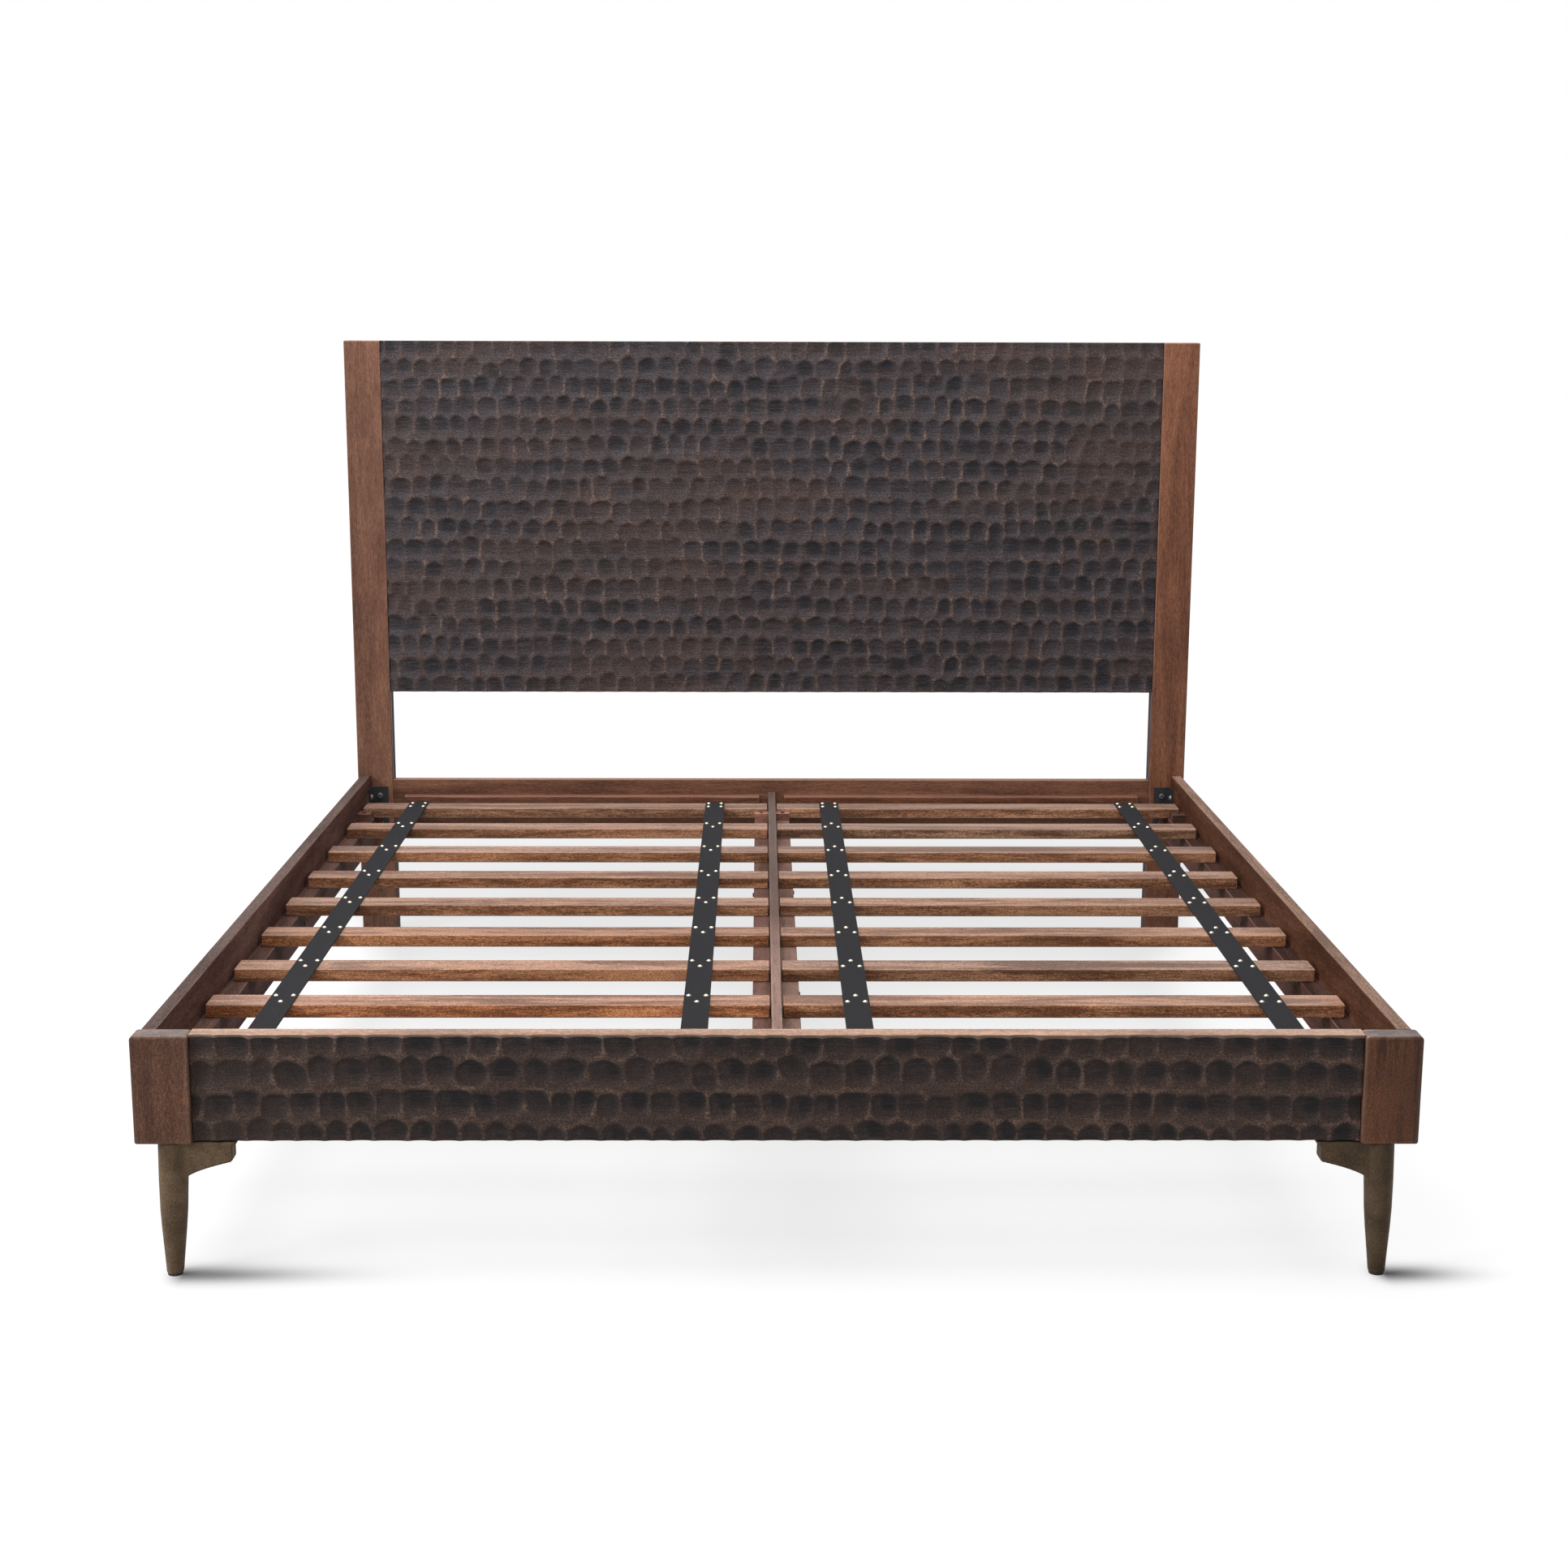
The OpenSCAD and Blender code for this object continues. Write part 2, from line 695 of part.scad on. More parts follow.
module slat(side, i) {
    color(wood_slat) translate([0, slat_y(i), 0]) difference() {
        at_side(side)
            block([-slat_outer, -slat_w / 2, ledger_top], [-slat_inner, slat_w / 2, slat_top]);
        for (x = strap_places(side), spot = nail_spots(side, i))
            translate([x + spot[0], spot[1], slat_top + strap_t - nail_l - hole_end])
                cylinder(r = nail_shank_r + hole_fit, h = nail_l + hole_end);
    }
}

module strap(side, x) {
    color(web_black) difference() {
        block([x - strap_w / 2, slat_y(slat_count) - slat_w / 2, slat_top],
              [x + strap_w / 2, slat_y(1) + slat_w / 2, slat_top + strap_t]);
        for (i = [1:slat_count], spot = nail_spots(side, i))
            translate([x + spot[0], slat_y(i) + spot[1], slat_top - over])
                cylinder(r = nail_shank_r + hole_fit, h = strap_t + 2 * over);
    }
}

// A domed nail whose dome starts at Z = 0
module nail() {
    ball_r = (nail_head_r * nail_head_r + nail_head_h * nail_head_h) / (2 * nail_head_h);
    intersection() {
        translate([0, 0, nail_head_h - ball_r]) sphere(r = ball_r);
        cylinder(r = nail_head_r + over, h = nail_head_h + over);
    }
    translate([0, 0, -nail_l]) cylinder(r = nail_shank_r, h = nail_l);
}

module strap_nails(side) {
    color(brass) for (x = strap_places(side), i = [1:slat_count], spot = nail_spots(side, i))
        translate([x + spot[0], slat_y(i) + spot[1], slat_top + strap_t]) nail();
}

module stop_block(place, size) {
    translate([place[0], place[1], ledger_top]) difference() {
        block([-size[0] / 2, -size[1] / 2, 0], [size[0] / 2, size[1] / 2, stop_h]);
        translate([0, 0, -over]) cylinder(r = screw_hole_r, h = stop_h + 2 * over);
    }
}

module stop_blocks() {
    color(wood_beam) for (side = [-1, 1]) at_side(side) {
        stop_block(stop_places[0], [stop_w, stop_l]);
        stop_block(stop_places[1], [cleat_w, mid_stop_l]);
    }
}

// Screws

module leg_screws() {
    color(steel_zinc) for (side = [-1, 1], spot = leg_screw_spots) at_side(side)
        translate([-leg_x + spot[0], leg_y + spot[1], leg_h - leg_plate_t])
            screw(leg_plate_t + leg_screw_bite);
}

module wood_screws() {
    color(steel_zinc) for (side = [-1, 1]) at_side(side) {
        for (y = ledger_screw_y)
            level([-half_w + ledger_w, y, side_ledger_z], 180) screw(ledger_w + screw_bite);
        for (y = cleat_screw_y)
            level([-cleat_side, y + side * cleat_stagger, cleat_z], 0) screw(cleat_w + screw_bite);
        for (x = head_ledger_screw_x)
            level([-x, head_y - head_ledger_w, head_ledger_z], 90) screw(head_ledger_w + screw_bite);
        for (place = stop_places)
            translate([place[0], place[1], ledger_top + stop_h]) mirror([0, 0, 1]) screw(stop_h + screw_bite);
        for (end = [-1, 1], z = hanger_screw_z)
            at_end(end) level([-hanger_screw_x, -hanger_t, z], 90) screw(hanger_t + screw_bite);
    }
}

headboard_post(-1);  // headboard_post_left
headboard_post(1);  // headboard_post_right
headboard_panel();
head_rail();
head_ledger(-1);  // head_ledger_left
head_ledger(1);  // head_ledger_right
side_rail(-1);  // side_rail_left
side_rail(1);  // side_rail_right
side_ledger(-1);  // side_ledger_left
side_ledger(1);  // side_ledger_right
foot_block(-1);  // foot_block_left
foot_block(1);  // foot_block_right
foot_rail();
corner_gusset(-1);  // corner_gusset_left
corner_gusset(1);  // corner_gusset_right
front_leg(-1);  // front_leg_left
front_leg(1);  // front_leg_right
floor_glides();
corner_bracket(-1, 1);  // corner_bracket_head_left
corner_bracket(1, 1);  // corner_bracket_head_right
corner_bracket(-1, -1);  // corner_bracket_foot_left
corner_bracket(1, -1);  // corner_bracket_foot_right
frame_bolts();
centre_beam();
centre_cleat(-1);  // centre_cleat_left
centre_cleat(1);  // centre_cleat_right
beam_hanger(1);  // beam_hanger_head
beam_hanger(-1);  // beam_hanger_foot
support_leg(support_places[0]);  // support_leg_head
support_leg(support_places[1]);  // support_leg_foot
leveller(support_places[0]);  // leveller_head
leveller(support_places[1]);  // leveller_foot
stop_blocks();
leg_screws();
wood_screws();
for (i = [1:slat_count]) {
    slat(-1, i);
    slat(1, i);
}
strap(-1, -strap_outer);  // strap_left_outer
strap(-1, -strap_from_mid);  // strap_left_inner
strap(1, strap_from_mid);  // strap_right_inner
strap(1, strap_outer);  // strap_right_outer
strap_nails(-1);  // strap_nails_left
strap_nails(1);  // strap_nails_right
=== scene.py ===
import math
from collections import namedtuple

import bpy
import numpy as np
from mathutils import Matrix, Vector


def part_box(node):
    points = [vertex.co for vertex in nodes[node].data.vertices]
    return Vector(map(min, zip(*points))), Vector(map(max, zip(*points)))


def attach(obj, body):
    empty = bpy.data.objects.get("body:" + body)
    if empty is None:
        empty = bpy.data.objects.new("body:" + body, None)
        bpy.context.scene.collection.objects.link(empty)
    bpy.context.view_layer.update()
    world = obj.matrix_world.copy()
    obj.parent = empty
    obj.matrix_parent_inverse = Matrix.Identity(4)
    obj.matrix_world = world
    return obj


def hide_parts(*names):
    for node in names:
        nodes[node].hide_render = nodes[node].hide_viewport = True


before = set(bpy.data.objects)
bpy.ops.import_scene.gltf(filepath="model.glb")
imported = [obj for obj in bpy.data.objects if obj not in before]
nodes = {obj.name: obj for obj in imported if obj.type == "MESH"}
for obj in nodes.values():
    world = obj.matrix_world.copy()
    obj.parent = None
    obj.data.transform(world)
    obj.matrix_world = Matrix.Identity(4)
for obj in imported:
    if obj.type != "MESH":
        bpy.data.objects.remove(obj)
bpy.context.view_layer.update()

scene = bpy.context.scene

X, Y, Z = range(3)
SIDES = ("left", "right")

# Corners nearer than this to a plane, or to each other, are on it, or are one
SAME_PLANE = 2e-5
SAME_POINT = 1e-5

# Node trees

# The share of its normal along an axis at which a face starts to look that way, and at which it fully does
FACING = (0.6, 0.95)

# Spans of a noise, which lies around a half: the middle, most and nearly all of it
MIDDLE = (0.36, 0.64)
MOST = (0.35, 0.65)
NEARLY_ALL = (0.3, 0.7)


class Tree:
    """The nodes of a new material or world, written as expressions. A socket, a number or a colour goes in
    wherever a value is taken."""

    def __init__(self, owner):
        self.owner = owner
        owner.use_nodes = True
        self.nodes = owner.node_tree.nodes
        self.links = owner.node_tree.links
        self.nodes.clear()
        self.coords = self.add("ShaderNodeTexCoord")
        self.geometry = self.add("ShaderNodeNewGeometry")

    def add(self, kind, **settings):
        node = self.nodes.new(kind)
        for key, value in settings.items():
            setattr(node, key, value)
        return node

    def put(self, value, socket):
        if isinstance(value, bpy.types.NodeSocket):
            self.links.new(value, socket)
        elif isinstance(value, (tuple, list)) and len(value) == 3 and socket.type == "RGBA":
            socket.default_value = (*value, 1)
        else:
            socket.default_value = value

    @property
    def here(self):
        """The place on the piece, in metres."""
        return self.coords.outputs["Object"]

    def split(self, vector):
        node = self.add("ShaderNodeSeparateXYZ")
        self.put(vector, node.inputs[0])
        return node.outputs

    def place(self, axis):
        return self.split(self.here)[axis]

    def normal(self, axis):
        return self.split(self.geometry.outputs["Normal"])[axis]

    def attribute(self, name):
        return self.add("ShaderNodeAttribute", attribute_name=name).outputs["Fac"]

    def drawn_out(self, axis, share, shift=(0, 0, 0)):
        """The place on the piece, with one axis squeezed to a share so that noises are drawn out along it."""
        node = self.add("ShaderNodeMapping")
        self.put(self.here, node.inputs["Vector"])
        node.inputs["Scale"].default_value = [share if i == axis else 1.0 for i in range(3)]
        node.inputs["Location"].default_value = shift
        return node.outputs["Vector"]

    def noise(self, vector, scale, detail, rough, distortion=0.0):
        node = self.add("ShaderNodeTexNoise")
        self.put(vector, node.inputs["Vector"])
        settings = {"Scale": scale, "Detail": detail, "Roughness": rough, "Distortion": distortion}
        for key, value in settings.items():
            node.inputs[key].default_value = value
        return node.outputs["Fac"]

    def math(self, operation, *values):
        node = self.add("ShaderNodeMath", operation=operation)
        for value, socket in zip(values, node.inputs):
            self.put(value, socket)
        return node.outputs[0]

    def weighted(self, *parts):
        """The sum of values, each times its weight."""
        total = None
        for value, weight in parts:
            term = self.math("MULTIPLY", value, weight)
            total = term if total is None else self.math("ADD", total, term)
        return total

    def fit(self, value, low, high, new_low=0.0, new_high=1.0, smooth=False):
        """A value mapped from one range to another, and held at the new range's ends."""
        node = self.add("ShaderNodeMapRange", interpolation_type="SMOOTHSTEP" if smooth else "LINEAR")
        for number, socket in zip((value, low, high, new_low, new_high), node.inputs):
            self.put(number, socket)
        return node.outputs[0]

    def mix(self, factor, a, b, blend="MIX"):
        node = self.add("ShaderNodeMix", data_type="RGBA", blend_type=blend)
        self.put(factor, node.inputs[0])
        self.put(a, node.inputs[6])
        self.put(b, node.inputs[7])
        return node.outputs[2]

    def lit(self, colour, share):
        """A colour times a share of light."""
        return self.mix(1.0, colour, share, "MULTIPLY")

    def ramp(self, factor, stops):
        node = self.add("ShaderNodeValToRGB")
        self.put(factor, node.inputs[0])
        elements = node.color_ramp.elements
        while len(elements) < len(stops):
            elements.new(0.5)
        for element, (place, colour) in zip(elements, stops):
            element.position = place
            element.color = (*colour, 1)
        return node.outputs[0]

    def bump(self, height, distance):
        node = self.add("ShaderNodeBump")
        self.put(height, node.inputs["Height"])
        node.inputs["Distance"].default_value = distance
        node.inputs["Strength"].default_value = 1.0
        return node.outputs["Normal"]

    def surface(self, colour, rough, normal, **more):
        """The finished material. more names other inputs of its shader."""
        shader = self.add("ShaderNodeBsdfPrincipled")
        self.put(colour, shader.inputs["Base Color"])
        self.put(rough, shader.inputs["Roughness"])
        self.put(normal, shader.inputs["Normal"])
        for key, value in more.items():
            self.put(value, shader.inputs[key.replace("_", " ")])
        return self.finish("ShaderNodeOutputMaterial", shader)

    def finish(self, kind, last):
        self.links.new(last.outputs[0], self.add(kind).inputs[0])
        return self.owner

    def seen(self):
        """1 for what the camera sees, mirrored or through glass as well, and 0 for all other light."""
        ray = self.add("ShaderNodeLightPath")
        seen = self.math("MAXIMUM", ray.outputs["Is Camera Ray"], ray.outputs["Is Glossy Ray"])
        return self.math("MAXIMUM", seen, ray.outputs["Is Transmission Ray"])


def material_tree(name):
    return Tree(bpy.data.materials.new(name))


def along_axis(axis, near, far, share_near, share_far):
    """Light that changes along one axis, from one place to another."""
    return lambda t: t.fit(t.place(axis), near, far, share_near, share_far)


def scaled(colour, factor):
    return tuple(factor * c for c in colour)


def shade(tones, factor, warm=0.0):
    """The same wood, lighter or darker, and warmer or cooler."""
    return tuple((c[0] * factor * (1 + warm), c[1] * factor, c[2] * factor * (1 - warm)) for c in tones)


def pick(side, left, right):
    """The value for one side of the bed, where the photograph shows its two sides different."""
    return left if side == "left" else right


# Plain wood

# Features to the metre across the grain, in each layer of the wood
BLOTCHES = 7
BROAD_FIGURE = 16
PATCHES = 60
STREAKS = 95
FLECKS = 330
PORES = 520
FIBRES = 620
SPECKS = 640

# How far a layer is drawn out along the grain: the smaller the share, the longer its features
THREADLIKE = 0.035
LONG = 0.09
SHORT = 0.28
STUBBY = 0.45
ROUND = 1.0

# The layers' shares in the figure
BROAD_SHARE = 0.44
LINE_SHARE = 0.42
FIBRE_SHARE = 0.14

# How strongly each of these shows over the colour beneath it, at most
BLOTCHES_SHOW = 0.35
PORES_SHOW = 0.45
PAINTED_TOP_LIGHT_SHOWS = 0.8
WORN_SHOWS = 0.6
INNER_PAINTED_SHADE_SHOWS = 0.88

# How deep the grain looks, and how near to an edge the rubbed wood is palest
GRAIN_DEPTH = 0.0004
ARRIS = 0.0005

# Dark, middle and light colours of each wood
POST = ((0.078, 0.030, 0.017), (0.158, 0.066, 0.038), (0.245, 0.112, 0.066))
BLOCK = ((0.062, 0.025, 0.015), (0.125, 0.052, 0.030), (0.220, 0.104, 0.062))
GOLDEN_RAIL = ((0.038, 0.0150, 0.0082), (0.082, 0.034, 0.0195), (0.135, 0.059, 0.035))
RAIL = ((0.036, 0.016, 0.012), (0.078, 0.036, 0.028), (0.135, 0.068, 0.052))
SLAT = ((0.125, 0.052, 0.026), (0.250, 0.112, 0.058), (0.395, 0.195, 0.105))
BEAM = ((0.055, 0.031, 0.026), (0.110, 0.068, 0.057), (0.190, 0.125, 0.104))
SAWN = ((0.180, 0.105, 0.062), (0.270, 0.170, 0.105), (0.370, 0.250, 0.165))
STAIN = ((0.022, 0.015, 0.013), (0.036, 0.024, 0.020), (0.056, 0.037, 0.030))

# Colours that upper faces fade towards: painted light and sheen from overhead
SLAT_PAINTED_TOP_LIGHT = (0.238, 0.150, 0.114)
BLOCK_PAINTED_TOP_LIGHT = (0.114, 0.090, 0.083)
LEDGER_PAINTED_TOP_LIGHT = (0.082, 0.046, 0.037)
HEAD_LEDGER_PAINTED_TOP_LIGHT = (0.175, 0.086, 0.060)
BEAM_PAINTED_TOP_LIGHT = (0.228, 0.143, 0.115)
FOOT_RAIL_PAINTED_TOP_LIGHT = (0.335, 0.215, 0.158)
LEFT_RAIL_PAINTED_TOP_LIGHT = (0.079, 0.058, 0.053)
RIGHT_RAIL_PAINTED_TOP_LIGHT = (0.235, 0.150, 0.114)
LEFT_CLEAT_PAINTED_TOP_LIGHT = (0.093, 0.045, 0.035)
RIGHT_CLEAT_PAINTED_TOP_LIGHT = (0.150, 0.088, 0.069)

# Colours of rubbed edges
POST_WORN = (0.30, 0.15, 0.10)
BLOCK_WORN = (0.21, 0.135, 0.10)
RAIL_WORN = (0.22, 0.14, 0.11)
LEDGER_WORN = (0.20, 0.13, 0.11)
HEAD_LEDGER_WORN = (0.30, 0.165, 0.120)
HEAD_RAIL_WORN = (0.24, 0.12, 0.075)
BEAM_WORN = (0.40, 0.27, 0.22)
SLAT_WORN = (0.36, 0.22, 0.155)

# A painted shade, dark and dull, on the inner faces of the posts
INNER_PAINTED_SHADE = (0.055, 0.036, 0.042)
INNER_SHINE = 0.02


def edge_distance(t, low, high):
    """Distance from a board's nearest edge, measured along its faces: the middle one of the distances to the
    nearest end of each axis."""
    sides = []
    for axis, place in enumerate(t.split(t.here)[:3]):
        centre = (low[axis] + high[axis]) / 2
        half = (high[axis] - low[axis]) / 2
        away = t.math("ABSOLUTE", t.math("SUBTRACT", place, centre))
        sides.append(t.math("SUBTRACT", half, away))
    a, b, c = sides
    least = t.math("MINIMUM", t.math("MINIMUM", a, b), c)
    most = t.math("MAXIMUM", t.math("MAXIMUM", a, b), c)
    total = t.math("ADD", t.math("ADD", a, b), c)
    return t.math("SUBTRACT", t.math("SUBTRACT", total, least), most)


def toned(t, figure, tones, below, above):
    """Dark, middle and light wood, over a figure that lies around a half."""
    return t.ramp(figure, [(0.5 - below, tones[0]), (0.5, tones[1]), (0.5 + above, tones[2])])


def wood(name, along, tones, box, shift=(0, 0, 0), gloss=0.45, top=None, worn=None, figure=1.0, fleck=0.5,
         grit=0.22, crisp=1.0, shine=0.25, rubbed=0.0045, inward=0, light=None):
    """Stained wood: broad figure, streaks, fibres and pores along one axis, with rubbed edges.

    tones are a dark, a middle and a light colour, top is the colour that upper faces fade towards, as painted
    light and sheen from overhead, worn is the colour of the rubbed edges, and rubbed is their width. fleck is
    the share of short flecks against long streaks, grit is how much the finest specks lighten and darken the
    wood, figure is how fine the broad figure and the streaks are, and crisp is their contrast. inward is 1 or
    -1 where the face on that side of the piece is darkened and dulled by a painted shade. light is a function
    by which the colour of each place is multiplied, to lighten or darken it."""
    t = material_tree(name)
    long_way = t.drawn_out(along, LONG, shift)
    broad = t.noise(long_way, BROAD_FIGURE * figure, detail=4, rough=0.55, distortion=0.8)
    streak = t.noise(long_way, STREAKS * figure, detail=4, rough=0.6, distortion=0.35)
    fibre = t.noise(t.drawn_out(along, THREADLIKE, shift), FIBRES, detail=2, rough=0.6)
    pore = t.fit(t.noise(long_way, PORES, detail=1, rough=0.5), 0.60, 0.72)
    flecks = t.noise(t.drawn_out(along, SHORT, shift), FLECKS, detail=3, rough=0.7)
    value = t.weighted((broad, BROAD_SHARE), (streak, LINE_SHARE * (1 - fleck)), (flecks, LINE_SHARE * fleck),
                       (fibre, FIBRE_SHARE))
    colour = toned(t, value, tones, 0.09 / crisp, 0.10 / crisp)
    colour = t.mix(t.math("MULTIPLY", pore, PORES_SHOW), colour, tones[0])
    blotch = t.noise(t.drawn_out(along, ROUND, shift), BLOTCHES, detail=3, rough=0.5)
    colour = t.mix(t.fit(blotch, 0.5, 0.75, 0, BLOTCHES_SHOW), colour, scaled(tones[0], 0.62))
    # Upper faces are painted paler, as painted light and sheen from overhead
    if top:
        painted_top_tones = (scaled(top, 0.60), top, scaled(top, 1.26))
        upper = toned(t, value, painted_top_tones, 0.08 / crisp, 0.09 / crisp)
        colour = t.mix(t.fit(t.normal(Z), *FACING, 0, PAINTED_TOP_LIGHT_SHOWS), colour, upper)
    specks = t.noise(t.drawn_out(along, STUBBY, shift), SPECKS, detail=2, rough=0.7)
    colour = t.lit(colour, t.fit(specks, *MIDDLE, 1 - grit, 1 + grit))
    if worn:
        patchy = t.fit(t.noise(long_way, PATCHES, detail=3, rough=0.6), *MOST)
        rub = t.math("MULTIPLY", t.fit(edge_distance(t, *box), ARRIS, rubbed, 1, 0, smooth=True), patchy)
        colour = t.mix(t.math("MULTIPLY", rub, WORN_SHOWS), colour, worn)
    if light:
        colour = t.lit(colour, light(t))
    # A painted shade darkens and dulls the faces on the inward side
    if inward:
        aside = t.math("MULTIPLY", t.normal(X), inward)
        colour = t.mix(t.fit(aside, *FACING, 0, INNER_PAINTED_SHADE_SHOWS), colour, INNER_PAINTED_SHADE)
        shine = t.fit(aside, *FACING, shine, INNER_SHINE)
    rough = t.fit(streak, *NEARLY_ALL, gloss - 0.06, gloss + 0.1)
    height = t.weighted((fibre, 0.5), (pore, -1.0), (streak, 0.8), (flecks, 0.5))
    return t.surface(colour, rough, t.bump(height, GRAIN_DEPTH), Specular_IOR_Level=shine)


# Boards


def weld(piece):
    """Joins the CAD mesh where its faces meet."""
    piece.modifiers.new("weld", "WELD").merge_threshold = SAME_POINT


def round_edges(node, width, lower=1.0):
    """Rounds the edges of a CAD board's outer box, with modifiers alone. lower is the share of the width that
    all but the upper edges get."""
    piece = nodes[node]
    mesh = piece.data
    low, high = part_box(node)
    points = np.empty(len(mesh.vertices) * 3, np.float32)
    mesh.vertices.foreach_get("co", points)
    points = points.reshape(-1, 3)
    ends = np.empty(len(mesh.edges) * 2, np.int32)
    mesh.edges.foreach_get("vertices", ends)
    ends = ends.reshape(-1, 2)
    outer_faces = np.zeros(len(ends), np.int32)
    for axis in (X, Y, Z):
        for limit in (low[axis], high[axis]):
            on_face = np.abs(points[:, axis] - limit) < SAME_PLANE
            outer_faces += on_face[ends[:, 0]] & on_face[ends[:, 1]]
    upper = np.abs(points[:, Z] - high[Z]) < SAME_PLANE
    share = np.where(upper[ends[:, 0]] & upper[ends[:, 1]], 1.0, lower) * (outer_faces >= 2)
    weight = mesh.attributes.new("bevel_weight_edge", "FLOAT", "EDGE")
    weight.data.foreach_set("value", share.astype(np.float32))
    weld(piece)
    bevel = piece.modifiers.new("ease", "BEVEL")
    bevel.limit_method = "WEIGHT"
    bevel.width = width
    bevel.segments = 3
    bevel.use_clamp_overlap = False
    normals = piece.modifiers.new("normals", "WEIGHTED_NORMAL")
    normals.keep_sharp = False


def dress(node, material):
    piece = nodes[node]
    piece.data.materials.clear()
    piece.data.materials.append(material)


def board(node, along, tones, edge=0.002, lower=1.0, **more):
    """A board with rounded edges. edge is their width, and lower what all but the upper ones get of it."""
    dress(node, wood("wood_" + node, along, tones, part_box(node), **more))
    round_edges(node, edge, lower)


def rough_board(node, along, tones, **more):
    """A sawn piece, with its edges left sharp."""
    dress(node, wood("wood_" + node, along, tones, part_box(node), **more))
    weld(nodes[node])


def post(side, warm):
    board("headboard_post_" + side, Z, shade(POST, pick(side, 1.0, 1.07), 1.5 * warm), edge=0.0025,
          worn=POST_WORN, shift=(0, 0, pick(side, 3.1, 7.7)), fleck=0.7, inward=pick(side, 1, -1))


# The right foot block fades between its sides, over all but this much at each of them
FADE_INSET = 0.005


def foot_block(side):
    """The left one is finely flecked. The right one is streaked, and paler towards its inner face."""
    low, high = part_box("foot_block_" + side)
    fade = along_axis(X, low[X] + FADE_INSET, high[X] - FADE_INSET, 1.14, 0.84)
    board("foot_block_" + side, Z, shade(BLOCK, pick(side, 1.05, 0.525), pick(side, -0.02, 0.22)),
          edge=0.0055, lower=0.6, top=BLOCK_PAINTED_TOP_LIGHT, worn=BLOCK_WORN, shift=(1.3, 0, 4.0), grit=0.5, rubbed=0.007,
          figure=1.3, fleck=pick(side, 0.85, 0.35), crisp=pick(side, 1.0, 2.2), light=pick(side, None, fade))


def side_rail(side):
    board("side_rail_" + side, Y, pick(side, shade(RAIL, 1.38, -0.05), GOLDEN_RAIL),
          top=pick(side, LEFT_RAIL_PAINTED_TOP_LIGHT, RIGHT_RAIL_PAINTED_TOP_LIGHT), worn=RAIL_WORN, gloss=0.6, shine=0.02, rubbed=0.0025,
          fleck=0.6, grit=0.35)


def side_ledger(side, warm):
    board("side_ledger_" + side, Y, shade(RAIL, 1.15, warm), edge=0.0015,
          top=scaled(LEDGER_PAINTED_TOP_LIGHT, pick(side, 0.80, 0.34)), worn=LEDGER_WORN, gloss=0.6, shine=0.02,
          rubbed=0.0025, grit=0.35)


def head_ledger(side, warm):
    board("head_ledger_" + side, X, shade(RAIL, 1.08, 0.26 + warm), edge=0.0015, top=HEAD_LEDGER_PAINTED_TOP_LIGHT,
          worn=HEAD_LEDGER_WORN, shine=0.10)


def centre_cleat(side, warm):
    board("centre_cleat_" + side, Y, shade(BEAM, 0.8, warm), edge=0.0015,
          top=pick(side, LEFT_CLEAT_PAINTED_TOP_LIGHT, RIGHT_CLEAT_PAINTED_TOP_LIGHT), shine=0.10)


for side in SIDES:
    warm = pick(side, -0.04, 0.05)
    post(side, warm)
    foot_block(side)
    side_rail(side)
    side_ledger(side, warm)
    head_ledger(side, warm)
    centre_cleat(side, warm)
board("head_rail", X, shade(POST, 0.95), worn=HEAD_RAIL_WORN, fleck=0.6)

# Painted shade: the beam is darkened between these two places, towards the head
BEAM_PALE_UNTIL = -0.56
BEAM_DARK_FROM = -0.16
board("centre_beam", Y, BEAM, top=BEAM_PAINTED_TOP_LIGHT, worn=BEAM_WORN, shine=0.06,
      light=along_axis(Y, BEAM_PALE_UNTIL, BEAM_DARK_FROM, 0.94, 0.40))

for side in SIDES:
    rough_board("corner_gusset_" + side, X, SAWN)
for end in ("head", "foot"):
    rough_board("support_leg_" + end, Z, SAWN)

# A painted highlight: the two stop blocks beside the beam are made up to 2.9 times as light as the outer two
INNER_STOPS_WITHIN = 0.3
OUTER_STOPS_BEYOND = 0.6


def painted_highlight_in_the_middle(t):
    return t.fit(t.math("ABSOLUTE", t.place(X)), INNER_STOPS_WITHIN, OUTER_STOPS_BEYOND, 2.9, 1.0)


rough_board("stop_blocks", X, shade(RAIL, 1.05, 0.08), light=painted_highlight_in_the_middle)

# Slats

random = np.random.default_rng(20)
SLATS = sum(node.startswith("slat_left_") for node in nodes)
MIDDLE_SLAT = (SLATS + 1) // 2
# Painted light: the last two slats, at the foot, are made paler, where the foot rail keeps light off their
# fronts
PAINTED_LIGHT_AFTER = SLATS - 2
# How much lighter one slat may be than another, by chance alone
TONE_SPREAD = 0.16
# The span in which each slat's grain is cut from another place of the noise
GRAIN_SPAN = 9


